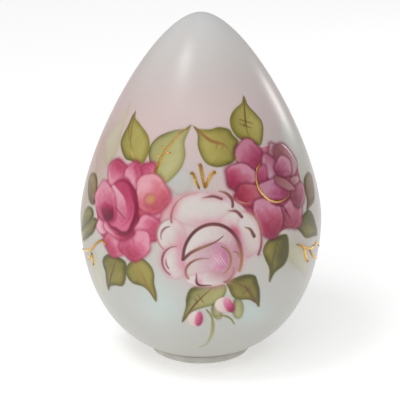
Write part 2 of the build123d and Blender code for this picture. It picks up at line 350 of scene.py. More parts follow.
def leaf(chart, outline, rib, tones=LEAF_TONES, bright=0.5, along=0.3, across=0.25, vein=VEIN, vein_width=0.5,
         edge=("#4C4718", 0.6), rim=0.0, opacity=1.0, soft=0.3, lift=0.12):
    """Tone = bright + along x (share of the rib - 1/2) + across x (distance to the left of the rib) + a swell
    that is light in the middle of the leaf. The edge is darker on the left for rim = 1 and on the
    right for -1."""
    loop, middle = curve(outline, closed=True), curve(rib)

    def mark(canvas):
        rows, uv = near(canvas, chart, loop, 1.5)
        depth = depth_inside(uv, loop)
        distance, share, turn = nearest(uv, middle)
        slant = share * 9 - distance / 2.2
        streak = 0.5 * noise(slant * 1.1 + 3,
                             distance / 4 + 40 * (turn > 0)) + 0.5 * noise(*(uv.T / 2.4 + 20))
        swell = 0.34 * (ease(depth, 0, 2.4) - 0.6)
        tone = bright + along * (share - 0.5) + across * np.clip(turn * distance / 3.5, -1,
                                                                 1) + swell + 0.1 * streak
        colour = ramp(tones, tone)
        side_edge = 0.6 + 0.4 * rim * turn
        band = (
            edge[1] * side_edge * np.exp(-((depth / 0.5) ** 2))
            + 0.35 * side_edge * edge[1] * np.exp(-depth / 1.4)
        )
        colour = colour + (srgb(edge[0]) - colour) * np.clip(band, 0, 1)[:, None]
        lay(canvas, rows, colour, opacity * ease(depth, -soft, soft), lift * ease(depth, -soft, 1.2))
        if vein_width:
            half = vein_width / 2 * (0.5 + 0.9 * ease(share, 0, 0.6) - 0.5 * ease(share, 0.6, 1))
            strength = 0.8 * (0.35 + 0.65 * ease(share, 0.1, 0.55))
            lay(canvas, rows, srgb(vein), strength * ease(half - distance, -0.22, 0.22), lift + 0.03)

    return mark


print("marks:", [tool.__name__ for tool in (glow, petal, stroke, leaf)])

# %% [markdown]
# ## Round shapes
# Petals, buds and drawn curls are round. They come from an ellipse, from an ellipse whose rim waves
# gently, or from a part of an ellipse.


# %% Round shapes
def ellipse(centre, half_length, half_width, tilt, count=12):
    """centre + half_length cos(a) along the tilt + half_width sin(a) across it."""
    a = np.linspace(0, 2 * math.pi, count, endpoint=False)
    c, s = math.cos(math.radians(tilt)), math.sin(math.radians(tilt))
    x, y = half_length * np.cos(a), half_width * np.sin(a)
    return np.column_stack([centre[0] + x * c - y * s, centre[1] + x * s + y * c])


def ruffle(centre, half_length, half_width, tilt, wave=0.05):
    """An ellipse times 1 + wave x (cos(3a + c) + cos(5a + 2c)), where c depends on its centre."""
    a = np.linspace(0, 2 * math.pi, 16, endpoint=False)
    c = 1.7 * centre[0] + 2.3 * centre[1]
    reach = 1 + wave * (np.cos(3 * a + c) + np.cos(5 * a + 2 * c))
    return centre + (ellipse(centre, half_length, half_width, tilt, 16) - centre) * reach[:, None]


def arc(centre, size, start, end, count=9):
    """Part of an ellipse from one angle to another: centre + (width cos(a), height sin(a)), a in degrees."""
    a = np.radians(np.linspace(start, end, count))
    return np.column_stack([centre[0] + size[0] * np.cos(a), centre[1] + size[1] * np.sin(a)])

# %% [markdown]
# ## The washes
# Before any flower is painted the whole egg is dusted with thin colour: bluish white at the crown, warm pink
# across the shoulders and cool greenish white low down. Painted shade is laid in with it: darker, greyer
# glows round the sides and over the right shoulder, and a ramp that darkens towards the foot. The ground is a
# ramp along the side, and large glows over it keep it from looking machine made.

# %% Washes
# Painted shade: the lowest steps are darker towards the foot, where the egg turns under, and stand in for
# shade.
GROUND_LEVELS = (3, 20, 38, 58, 78, 96, 112, 127)
GROUND_AND_SHADE = ("#AEACA4", "#B8B8B2", "#BEBCB6", "#C4BCB6", "#C8B8B4", "#CAB6B4", "#CCC6C2", "#D2D2D2")


def lay_ground_and_shade(canvas):
    """Colour = a ramp over the height, whose level wavers by noise."""
    height = read_side(canvas["along"], side[:, 1])
    height = height + 3.0 * noise(canvas["azimuth"] * 2.2 + 60, canvas["along"] / 24 + 2)
    table = np.array([srgb(code) for code in GROUND_AND_SHADE])
    canvas["colour"][:] = np.column_stack([np.interp(height, GROUND_LEVELS, table[:, i]) for i in range(3)])


washes = [
    lay_ground_and_shade,
    # Painted shade: the next three dark glows lie at the far left and far right, where the egg turns away
    # from the light.
    glow(FAR_LEFT, (-6, 22), (11, 12), "#A4806C", 0.7),
    glow(FAR_LEFT, (-6, 0), (10, 18), "#9C8C70", 0.6),
    glow(FAR_RIGHT, (2, 24), (11, 18), "#8C8A7A", 0.6),
    glow(CROWN, (-22, -2), (14, 12), "#D9B9B4", 0.65),
    glow(CROWN, (0, 12), (26, 9), "#D6C6C4", 0.5),
    # Partly painted shade: this mauve-grey wash also darkens the right shoulder.
    glow(RIGHT, (14, 16), (16, 30), "#B9ABAC", 0.6),
    glow(FAR_LEFT, (-4, 20), (12, 8), "#C9AFA6", 0.5),
    # Painted shade: a grey glow at the far right.
    glow(FAR_RIGHT, (0, 22), (11, 18), "#B4B3A9", 0.4),
    glow(CENTRE, (-14, -6), (7, 9), "#BAC5C1", 0.7),
    glow(CENTRE, (17.5, -10), (7, 7), "#B8C2BE", 0.6),
    glow(LEFT, (8, -26), (10, 7), "#C2C9C5", 0.5),
    glow(CENTRE, (-8, 12), (5, 9), "#D2A6AE", 0.55),
    glow(CENTRE, (16, 27), (9, 5), "#C9B2B4", 0.4),
    glow(RIGHT, (2, -24), (14, 10), "#BDBDB7", 0.5),
    glow(BACK, (0, 4), (26, 26), "#D3C4C2", 0.6),
    glow(BACK, (-18, -18), (9, 8), "#BCC6C2", 0.5),
    glow(BACK, (18, 22), (9, 8), "#BCC6C2", 0.4),
    glow(CROWN, (-9, -9), (6, 5), "#B4BCC2", 0.6),
    glow(RIGHT, (8, -12), (7, 6), "#A8A48C", 0.6),
    glow(CENTRE, (-14, -8), (6, 9), "#C2CEC8", 0.6),
    glow(CENTRE, (20, -13), (6, 5), "#BACAC4", 0.6, turn=-30),
    glow(CENTRE, (-13.5, 27), (5.5, 5.5), "#DC98A0", 0.9, turn=30),
    glow(CENTRE, (15, 29), (7, 4.5), "#D49AA6", 0.8, turn=-25),
]
print("washes:", len(washes))

# %% [markdown]
# ## Shadow leaves
# China painters set pale leaves behind the strong ones, so that the spray seems to sink into the glaze.
# They are too thin to feel, so they are marks on the glaze itself and have no piece of their own.

# %% Shadow leaves
PALE_OLIVE = ("#A8A57F", "#B9B58F", "#C4BF9E", "#CCC8AE")
PALE_GREY = ("#A3A798", "#AFB1A4", "#BBBBB0", "#C4C3BB")
PALE_ROSE = ("#B08F84", "#BFA197", "#C9AFA6", "#D0BDB5")


def faint(chart, outline, rib, tones, edge, edge_strength, **more):
    """A soft, pale leaf without a vein."""
    return leaf(chart, outline, rib, tones, vein_width=0, edge=(edge, edge_strength), **more)


shadow_leaves = [
    faint(FAR_LEFT, [(4.9, 46), (3.8, 38.9), (-0.7, 30.6), (1, 27.8), (6.5, 21.7), (9.9, 27.8), (8.2, 34.5)],
          [(4, 23), (4.5, 34), (4.9, 45)], PALE_OLIVE, "#97946C", 0.15, opacity=0.6, soft=1.0),
    leaf(FAR_LEFT, [(1, 16), (-4, 16.5), (-12, 18), (-15, 21), (-8, 23.5), (-1, 21.5)],
         [(1, 18), (-7, 19.5), (-14, 21)], PALE_ROSE, opacity=0.6, soft=1.0, vein="#A07E72",
         edge=("#A07E72", 0.15)),
    faint(FAR_LEFT, [(8, -9), (4.4, -13), (3.6, -19), (5.2, -27.2), (8.6, -25), (10.6, -20), (10.4, -13)],
          [(8, -10), (7, -18), (5.4, -26)], PALE_OLIVE, "#97946C", 0.15, opacity=0.55, soft=1.0),
    faint(FAR_RIGHT, [(-0.3, 39.7), (-5.3, 37.8), (-8.1, 33.3), (-7, 24), (-3, 15), (3, 16), (7, 24),
                      (7, 32)],
          [(-1, 14), (0.5, 26), (-0.3, 39)], PALE_GREY, "#8E9384", 0.15, opacity=0.55, soft=1.2),
    faint(FAR_RIGHT, [(-19, -4), (-12, -6), (-6, -11), (-5.3, -20), (-9, -17), (-16, -12), (-20, -8)],
          [(-19, -5), (-12, -10), (-6, -18)], PALE_OLIVE, "#8B8C66", 0.2, opacity=0.55, soft=0.9),
    faint(CROWN, [(-13, -12), (-10, -7.5), (-5, -6), (-2.6, -9), (-4, -14), (-8, -15.5)],
          [(-13, -13), (-8, -11), (-3, -8)], PALE_GREY, "#A9A9A5", 0.35, opacity=0.5, soft=0.9),
    faint(BACK, [(-15, 10), (-22, 12), (-27, 9), (-22, 4), (-15, 4)], [(-15, 7), (-20, 8), (-26.5, 9)],
          PALE_OLIVE, "#97946C", 0.15, opacity=0.5, soft=1.0),
    faint(BACK, [(15, 10), (22, 12), (27, 9), (22, 4), (15, 4)], [(15, 7), (20, 8), (26.5, 9)], PALE_GREY,
          "#8E9384", 0.15, opacity=0.5, soft=1.0),
    stroke(CROWN, [(-11.5, -12.5), (-7.5, -14.6), (-4, -15)], 0.5, ("#9A9490", "#A9A3A0"), opacity=0.6),
]
print("shadow leaves:", len(shadow_leaves))

# %% [markdown]
# ## Leaves
# Each leaf is a pointed shape with a rib that bends. Its middle is light and its rim is darker, on one side
# more than on the other, and one half is a little darker than the other. A liner brush adds the last few
# brown lines, and pairs of short ticks across the rib.

# %% Leaves
SAGE = ("#5C5A2A", "#8A8450", "#A29C64", "#AEA870", "#BEB888")
AUTUMN = ("#5C4020", "#7C6236", "#927A4C", "#A08A5A", "#B09C6C")

# name: (chart, outline, rib, bright, along, across, other settings)
LEAVES = {
    "leaf_left_tall": (
        LEFT,
        [(-5.7, 43.2), (-7.2, 38), (-8.7, 32.5), (-7.5, 29.5), (-4, 26.5), (-1, 26.2), (3.5, 25.7), (5, 28.5),
         (5.1, 32), (3, 36), (-2, 39.5), (-4.7, 41)],
        [(0, 26.4), (-2.4, 30.5), (-4, 34), (-5.6, 42.6)], 0.56, 0.1, -0.12, {"rim": 0.7, "vein": "#86682C"},
    ),
    "leaf_left_gilded": (
        LEFT,
        [(9, 23.2), (6, 28), (5.2, 30.5), (5.5, 33.5), (8, 36.5), (12.5, 38.7), (15.5, 39.2), (17.4, 40.6),
         (16.9, 35), (18.5, 30), (18, 25.5), (15, 21), (13, 20.5), (11, 22.5)],
        [(9.5, 23.2), (10.5, 29), (12, 33), (14.5, 37.5), (17, 40)], 0.6, 0.1, -0.15,
        {"tones": SAGE, "rim": 0.5, "vein_width": 0},
    ),
    "leaf_left_low_outer": (
        LEFT,
        [(-4.5, -7.4), (-8.5, -9), (-10.5, -12), (-9.5, -16), (-10, -20), (-9.6, -23.2), (-8, -21),
         (-4.5, -19.5),
         (-1.5, -19), (0.5, -17), (1.7, -12.5), (1.5, -8.6)],
        [(-1.5, -8), (-4, -12.5), (-6.5, -17), (-9.4, -22.6)], 0.18, 0.1, 0.1, {"rim": 0.2},
    ),
    "leaf_left_low_inner": (
        LEFT,
        [(6, -6.6), (9, -6.2), (12, -8.5), (13, -11.5), (12.7, -15), (13, -19), (12.2, -22.4), (10.5, -19),
         (8, -17), (4, -16.5), (2, -14.5), (1.7, -11)],
        [(5.5, -7.5), (8, -11.5), (10, -16), (12.1, -21.6)], 0.42, 0.1, 0.15, {"rim": 0.9, "vein": "#8A6436"},
    ),
    "leaf_right_inner": (
        CROWN,
        [(-2.6, 8.9), (-1, 7.9), (3, 7.7), (6, 8.4), (9.5, 7.5), (11, 5.5), (13, 3), (12, 0.5), (11.7, -1),
         (11.5, -3.5), (8, -5), (5, -5.2), (2, -4), (0.2, -1.5), (-1, 2), (-1.1, 6)],
        [(11.4, -2.4), (8, 2), (3, 4), (-2, 8.4)], 0.56, 0.5, 0.1,
        {"rim": 0.6, "vein": "#906030", "vein_width": 0.8},
    ),
    "leaf_right_tall": (
        CROWN,
        [(15.5, 18.6), (17.2, 15), (20.5, 11.5), (23, 8.5), (23.2, 5), (22, 1), (20, 1), (15, 3), (12.5, 4.5),
         (10.5, 7.5), (10, 11), (11.5, 14), (14.5, 16.2)],
        [(18.5, 1.5), (16.5, 5.5), (15.7, 11), (15.4, 18)], 0.54, 0.2, -0.12, {"rim": -0.8},
    ),
    "leaf_right_low": (
        RIGHT,
        [(-1, -4.6), (-5.5, -5.5), (-7.5, -8.5), (-6.5, -12), (-4.5, -16), (-3.8, -21.2), (-2, -18), (2, -16),
         (3.7, -13.5), (4, -9), (3, -5)],
        [(-1, -5), (-2.6, -9), (-3.5, -13), (-3.8, -20.6)], 0.1, 0.1, -0.2, {"rim": -0.3},
    ),
    "leaf_bud_left": (
        CENTRE,
        [(4, 0.6), (0, 0.6), (-3.5, -0.8), (-5, -4.5), (-5.2, -8.5), (-6.5, -15.4), (-3, -10.5), (1, -8.5),
         (4, -7.5), (8, -4), (8.5, 0.2)],
        [(4.5, -0.2), (0, -4.5), (-3.5, -9.5), (-6.3, -15)], 0.32, 0.1, 0.2, {"tones": SAGE, "rim": -0.3},
    ),
    "leaf_bud_right": (
        CENTRE,
        [(8.5, 1.8), (11.5, 2.8), (15.5, 3.6), (19, 2.7), (20.2, 0), (21.2, -4), (21.2, -10.6), (19.5, -8.5),
         (17, -6.7), (13, -6), (11, -4.5), (9.5, -1)],
        [(11, 0.8), (16, -1.5), (18.5, -5.5), (21.1, -10.2)], 0.18, 0.1, -0.1, {"rim": 0.7},
    ),
    "leaf_side_left_high": (
        FAR_LEFT,
        [(6.2, 10.5), (3.8, 15.5), (-0.1, 17.5), (-4.8, 16.1), (-6.2, 14), (-5, 11.6), (-2.9, 9.6), (1, 7.2),
         (5.5, 7.3)],
        [(6.2, 9), (1, 12), (-5.6, 14.6)], 0.16, 0.1, -0.2, {"tones": AUTUMN},
    ),
    "leaf_side_left_middle": (
        FAR_LEFT,
        [(6.6, 3.9), (4.3, 5.8), (0, 5), (-3.4, 1.4), (-6.6, -6.2), (0, -2.8), (5.5, 1.6)],
        [(6.4, 3.6), (0.5, 1.4), (-6.2, -5.8)], 0.16, 0.1, -0.2, {},
    ),
    "leaf_side_left_low": (
        FAR_LEFT,
        [(9.9, 2.8), (8.2, -1.7), (4.9, -4.4), (0, -7.2), (-4.4, -9), (-4, -5.5), (2.7, 0), (6.5, 2.8)],
        [(9.6, 2.4), (3.5, -2.8), (-4.2, -8.6)], 0.2, 0.1, -0.2, {},
    ),
    "leaf_side_right_high": (
        FAR_RIGHT,
        [(-7, 5.6), (-5.3, 8.9), (-5.1, 12.2), (-3.7, 16.1), (-0.3, 17.5), (3, 17.2), (5.8, 15), (4.7, 11.1),
         (1.9, 7.2), (-3.7, 6.1)],
        [(-6.6, 6), (-1, 11), (5.2, 15.4)], 0.0, 0.1, 0.1, {"tones": AUTUMN},
    ),
    "leaf_side_right_low": (
        FAR_RIGHT,
        [(-15.1, 2.2), (-10.9, 4.4), (-5.9, 5.6), (-2.6, 3.3), (-0.3, -1.1), (1.9, -5.8), (-3.7, -5),
         (-9.2, -3.9), (-12.5, -1.1)],
        [(-14.6, 1.8), (-7, 0.6), (1.5, -5.4)], 0.0, 0.1, -0.2, {},
    ),
}


def simple_leaf(base, tip, bend, width):
    """An outline and a rib: half width = width x sin(pi x share^0.8) on each side of a rib that bends."""
    base, tip = np.array(base, float), np.array(tip, float)
    way = tip - base
    across = np.array([-way[1], way[0]]) / np.hypot(*way)
    share = np.linspace(0, 1, 8)[:, None]
    rib = base + way * share + across * bend * 4 * share * (1 - share)
    half = width * np.sin(math.pi * share**0.8)
    return np.vstack([rib + across * half, (rib - across * half)[-2:0:-1]]), rib


for name, base, tip, bend in (
    ("leaf_back_high_left", (-6, 14.4), (-15, 27), 1.2),
    ("leaf_back_high_right", (6, 14.4), (15, 27), -1.2),
    ("leaf_back_low_left", (-7.6, -10.8), (-18, -21), -1.0),
    ("leaf_back_low_right", (7.6, -10.8), (18, -21), 1.0),
):
    outline, rib = simple_leaf(base, tip, bend, 5.2)
    LEAVES[name] = (BACK, outline, rib, 0.55, 0.3, 0.22, {})

leaf_marks = [
    leaf(chart, outline, rib, bright=bright, along=along, across=across, **more)
    for chart, outline, rib, bright, along, across, more in LEAVES.values()
]


def twig(chart, points, width=0.45, codes=("#6A4C22", "#5E4018"), **more):
    """A thin brown stroke of the liner brush."""
    return stroke(chart, points, width, codes, **({"opacity": 0.75, "press": (0.5, 0.4)} | more))


leaf_lines = [
    twig(LEFT, [(-6.5, 42), (-6.5, 38), (-4.5, 33)], 0.7, ("#6A4C18", "#8A7440")),
    twig(LEFT, [(-2.5, 30), (-0.5, 27.5)], 0.6, ("#C8A050", "#E0BC68")),
    twig(CROWN, [(13.5, 10.5), (18.5, 8.5)]),
    twig(CROWN, [(13.5, 9), (18, 7)]),
    twig(CROWN, [(16, 10), (15, 7.5)], 0.35),
    twig(CROWN, [(6, 3.5), (5, 1)], 0.5, ("#9A6638", "#966A3A")),
    twig(CROWN, [(8, 3), (7, 0.5)], 0.5, ("#9A6638", "#966A3A")),
    twig(LEFT, [(5, -8), (8, -13.5), (12, -21.5)], 0.6, ("#A07C46", "#A0703E", "#5E4A1C")),
    twig(LEFT, [(-3, -10), (-9, -22)], 0.5),
    twig(LEFT, [(1.5, -9), (1, -15)], 1.3, ("#4E5218", "#6A6A34"), soft=0.7, opacity=0.6),
    twig(CENTRE, [(4, 0), (-2, -7), (-6, -14.5)], 0.5),
    twig(CENTRE, [(-2, -4.5), (-1, -7)]),
    twig(CENTRE, [(-1, -3), (1, -6.5)]),
    twig(CENTRE, [(12.5, 1), (16, -2), (19, -8)], 0.5),
    twig(CENTRE, [(15.5, 0), (16.5, -3.5)]),
    twig(CENTRE, [(14.5, -4), (17, -1.5)]),
    twig(RIGHT, [(-1, -5.5), (-3.5, -13), (-4, -20)], 0.5, ("#4A4018", "#5E5A28")),
]
print("leaves:", len(LEAVES), "lines on them:", len(leaf_lines))

# %% [markdown]
# ## Buds and their strokes
# Two rosebuds hang under the white rose. Each is a pale cup with one pink stroke that wraps it, small
# green sepals and a stem. Two thin tendrils sweep down from them.

# %% Buds
BUD_PINK = ("#8C2048", "#B23A66", "#C86688", "#D492A6")
BUD_PALE = ("#C0A09A", "#CEB6AE", "#D6C4BE", "#DCD0C8")


BUDS = {
    "bud_left": (CENTRE, ellipse((-1.2, -13.7), 3.9, 2.7, 82)),
    "bud_right": (CENTRE, ellipse((8.6, -7.7), 3.9, 2.9, 118)),
    "bud_back": (BACK, ellipse((0, -17.6), 3.9, 2.9, 90)),
}
TENDRILS = {
    "tendril_long": (CENTRE, [(2, -9.5), (3.7, -12.5), (4.2, -17), (3.7, -22), (2, -27.5), (-0.7, -30)], 1.2),
    "tendril_short": (CENTRE, [(4.5, -12.5), (8, -12.5), (10.5, -14.2), (11.9, -17.2)], 0.9),
}
bud_marks = [
    leaf(CENTRE, ellipse((13, -10), 4.8, 2.2, 95), [(13, -5.5), (12.5, -14)], SAGE, bright=0.45,
         opacity=0.85, vein_width=0),
    leaf(CENTRE, ellipse((5.5, -10.5), 3.8, 1.8, 105), [(5, -7), (6, -14)], SAGE, bright=0.4, opacity=0.8,
         vein_width=0),
    stroke(*TENDRILS["tendril_long"][:2], 1.15, ("#7C7634", "#9A9656", "#A8A47C"), press=(0.5, 0.3)),
    stroke(*TENDRILS["tendril_short"][:2], 0.8, ("#8E8A4E", "#7C7640", "#6E6A34"), press=(0.4, 0.4)),
    petal(CENTRE, ellipse((-1.7, -13.6), 3.6, 3, 78), BUD_PALE, dark=(1, -16.5), light=(-4.5, -12.5),
          edge=("#C89A9E", 0.4)),
    petal(CENTRE, ellipse((-0.7, -13.6), 3.4, 1.4, 85), BUD_PINK, dark=(0.5, -14.5), light=(-2.5, -13.5),
          grain=0.25, soft=0.5),
    petal(CENTRE, ellipse((8, -7.8), 3.5, 3.2, 120), BUD_PALE, dark=(11, -10.5), light=(5.5, -7),
          edge=("#B88A88", 0.5)),
    petal(CENTRE, ellipse((9.8, -8), 3.6, 1.7, 115), BUD_PINK, dark=(11.5, -9.5), light=(8, -6.5),
          grain=0.25, soft=0.45),
    stroke(CENTRE, [(8.5, 0.5), (11, -7)], 0.6, ("#D2C8B4", "#C8BCA0"), opacity=0.8),
    stroke(BACK, [(0, -12), (1, -15), (0, -18)], 1.2, ("#7C7634", "#9A9656")),
    petal(BACK, ellipse((0, -17.6), 3.9, 2.9, 90), BUD_PALE, dark=(2, -20), light=(-2, -15),
          edge=("#C08A98", 0.5)),
    petal(BACK, ellipse((1.4, -17.5), 3.4, 1.4, 95), BUD_PINK, dark=(2.5, -20), light=(0.5, -14.5),
          grain=0.25, soft=0.4),
]
print("bud marks:", len(bud_marks))

# %% [markdown]
# ## The pink rose on the left
# A china-painted rose is built from the back: outer petals first, then the turned-over ones, and last the
# small dark curls at its heart. Light runs along a petal's outer lip and the colour deepens towards the
# heart, so each petal gets a dark place and a light place.

# %% The left rose
PINK = ("#9C2448", "#B03C5C", "#C05474", "#CC6E88", "#D88EA0")
PINK_DEEP = ("#6E0E2C", "#921440", "#B23C62", "#C6607C")
CORAL = ("#B04458", "#C25C6C", "#CE7480", "#DA98A2")
PALE_PINK = ("#C46680", "#CC7C92", "#D694A4", "#DEA8B4")
PINK_EDGE = ("#98284C", 0.45)
PINK_SHADE = ("#8A1E40", 0.4)


def pink_petal(outline, dark, light, tones=PINK, **more):
    """A petal of the left rose."""
    settings = {"edge": PINK_EDGE, "shade": PINK_SHADE, "lip": 0.16, "grain": 0.08, "soft": 0.4,
                "shade_width": 0.7} | more
    return petal(LEFT, outline, tones, dark, light, **settings)


def pink_line(points, width, codes=("#7E1838", "#6A1030"), **more):
    """A drawn line of the left rose."""
    return stroke(LEFT, points, width, codes, **({"opacity": 0.8, "soft": 0.3, "press": (0.4, 0.4)} | more))


left_rose = [
    petal(LEFT, ellipse((0, 9), 15, 14, 60), PINK, (0, -8), (2, 32), heart=(-1, 8), lift=0.08),
    pink_petal(ruffle((6, 23), 4.2, 3.2, 60), (4, 26), (7, 21)),
    pink_petal(ruffle((-6.6, 21), 5.3, 4.8, 10), (-7, 26), (-8, 18)),
    pink_petal(ruffle((1.2, 21.2), 5, 3.8, 95), (4, 25.5), (-0.5, 20)),
    petal(LEFT, ellipse((0.5, 20.5), 3.2, 1.9, 95), PALE_PINK, (3, 24), (0, 19.5), soft=0.7, opacity=0.85),
    pink_petal(ruffle((9.8, 8.8), 4.6, 3.2, 5), (7, 7), (12, 10), CORAL),
    pink_petal(ruffle((10.4, 4.2), 5.4, 4.8, 20), (14.5, 3), (8, 6)),
    pink_petal(ruffle((10, 16.2), 7.3, 6, -48), (13.5, 10.5), (6.5, 19.5), CORAL, edge=("#A84058", 0.5)),
    glow(LEFT, (7, 18.5), (2.2, 2.8), "#DEA6B0", 0.75, turn=-20),
    stroke(LEFT, ellipse((10, 14.3), 2.3, 2.1, 0), 0.7, ("#B05A5E", "#A84E58"), opacity=0.55, soft=0.4),
    stroke(LEFT, arc((10, 14.3), (3.7, 4), 60, -35), 0.6, ("#C46470", "#B8505E"), opacity=0.6, soft=0.35),
    glow(LEFT, (10, 14.5), (1.3, 1.4), "#BE9A50", 0.9),
    pink_petal(ruffle((-9, 1.8), 4.6, 3, 12), (-7, 2.5), (-11.5, 1), PALE_PINK),
    pink_petal(ruffle((-3.2, -3.4), 5.5, 4.6, 25), (-6, -6.5), (-2, -1.5)),
    glow(LEFT, (-2.5, -2.5), (1.5, 1.4), "#D88AA0", 0.6),
    pink_petal(ruffle((5.8, -2), 6.8, 5.2, 30), (3, -6.5), (6, 1.5)),
    pink_line([(4.5, 2), (6.5, -4.5)], 0.5, ("#B03A5E", "#A63258"), opacity=0.5),
    pink_petal(ruffle((-1.5, 2.6), 7.4, 3.8, -2), (1.5, 1.5), (-5, 3.5)),
    pink_petal(ruffle((-1.6, 9.8), 9.6, 7.5, 103), (4, 6), (-6, 16), ("#7A1034", "#982048", "#B23A62"),
               lip=0),
    pink_petal(ruffle((-1.9, 10), 8.4, 6.3, 103), (3.5, 13), (-2, 5), ("#B03A5E", "#C04E72", "#CC6486"),
               shade=None,
               edge=("#A02C52", 0.3)),
    pink_petal(ruffle((-3, 11.4), 6.4, 2.9, -48), (0, 7), (-4, 15.5), PALE_PINK, shade=None,
               edge=("#B8506E", 0.35), lip=0),
    pink_line(arc((-2.2, 9.8), (7.6, 9.2), 125, -35), 1.2, ("#9A2048", "#7A1036", "#6E0A2E"), soft=0.5),
    pink_line([(-7, 13.5), (-4.5, 10), (1, 6.5)], 0.6, ("#A02C52", "#7E1838")),
    pink_line(arc((-2, 9.5), (5.4, 6.2), 30, -70), 0.45, ("#A83A62", "#A02C52"), opacity=0.6),
    pink_line([(-3, 0.5), (1.5, 1), (4, 3)], 0.9, ("#8E1840", "#6E0A2E")),
    pink_petal(ruffle((-10, 10), 7.6, 5.8, -42), (-8, 5), (-12.5, 14.5),
               ("#A8305A", "#BC4E72", "#CA7088", "#D68CA0")),
    pink_petal(ruffle((-7.8, 7.2), 3.8, 2.9, -25), (-7, 4.5), (-9, 11.5),
               ("#5E0828", "#7E1038", "#A63058", "#BC4E72"),
               edge=None, shade=None, soft=0.7, lip=0),
    pink_line(arc((-7.6, 7), (3.3, 2.6), 200, 375), 0.7, ("#7E1038", "#5E0828", "#9A2048")),
    pink_line(arc((-10.2, 10), (5.6, 6.6), 205, 300), 0.45, ("#A83A5C", "#8E2046")),
    pink_line([(6, 10), (6.5, 7), (5.5, 4.5)], 1.0, ("#8E1840", "#6E0A2E", "#8E1840"), soft=0.5),
]
print("left rose marks:", len(left_rose))

# %% [markdown]
# ## The white rose in the middle
# This rose is nearly the colour of the glaze, so drawing holds it together: creamy petals with a blush
# at their feet, and thin maroon and brown lines that follow the lips. The lines are strokes with a soft start
# and a pressed end.

# %% The centre rose
CREAM = ("#BA8C96", "#C4A2A6", "#CCB6B4", "#D0C2BE", "#D4CAC6")
BLUSH = ("#BC889A", "#C4A2AA", "#CCBAB8")
VIOLET = ("#B8688E", "#C6849E", "#D0A0B2", "#D8BAC4")
MAROON = ("#6A2A38", "#5A2228", "#7A4A34")
ROSEWOOD = ("#9C6A62", "#7A4644", "#6A3038")
GOLDEN_BROWN = ("#8A604A", "#966C4C", "#A07850")


def cream_petal(outline, dark, light, tones=CREAM, **more):
    """A petal of the centre rose."""
    settings = {"edge": ("#C48C98", 0.35), "edge_width": 0.6, "shade": ("#CC929E", 0.35), "shade_width": 0.7}
    return petal(CENTRE, outline, tones, dark, light, **(settings | {"grain": 0.08, "blotch": 0.06} | more))


def line(points, width=0.7, codes=MAROON, **more):
    """A drawn line of the centre rose."""
    return stroke(CENTRE, points, width, codes, **({"soft": 0.24, "press": (0.3, 0.8)} | more))


def blushed_line(points, width, codes=MAROON, halo="#CC7C92", reach=2.0, **more):
    """A line over a wide soft pink stroke, as where paint bleeds beside a drawn lip."""
    bleed = stroke(CENTRE, points, width + reach, (halo, halo), soft=1.2, opacity=0.32, press=(0.5, 0.7),
                   lift=0)
    return [bleed, line(points, width, codes, **more)]


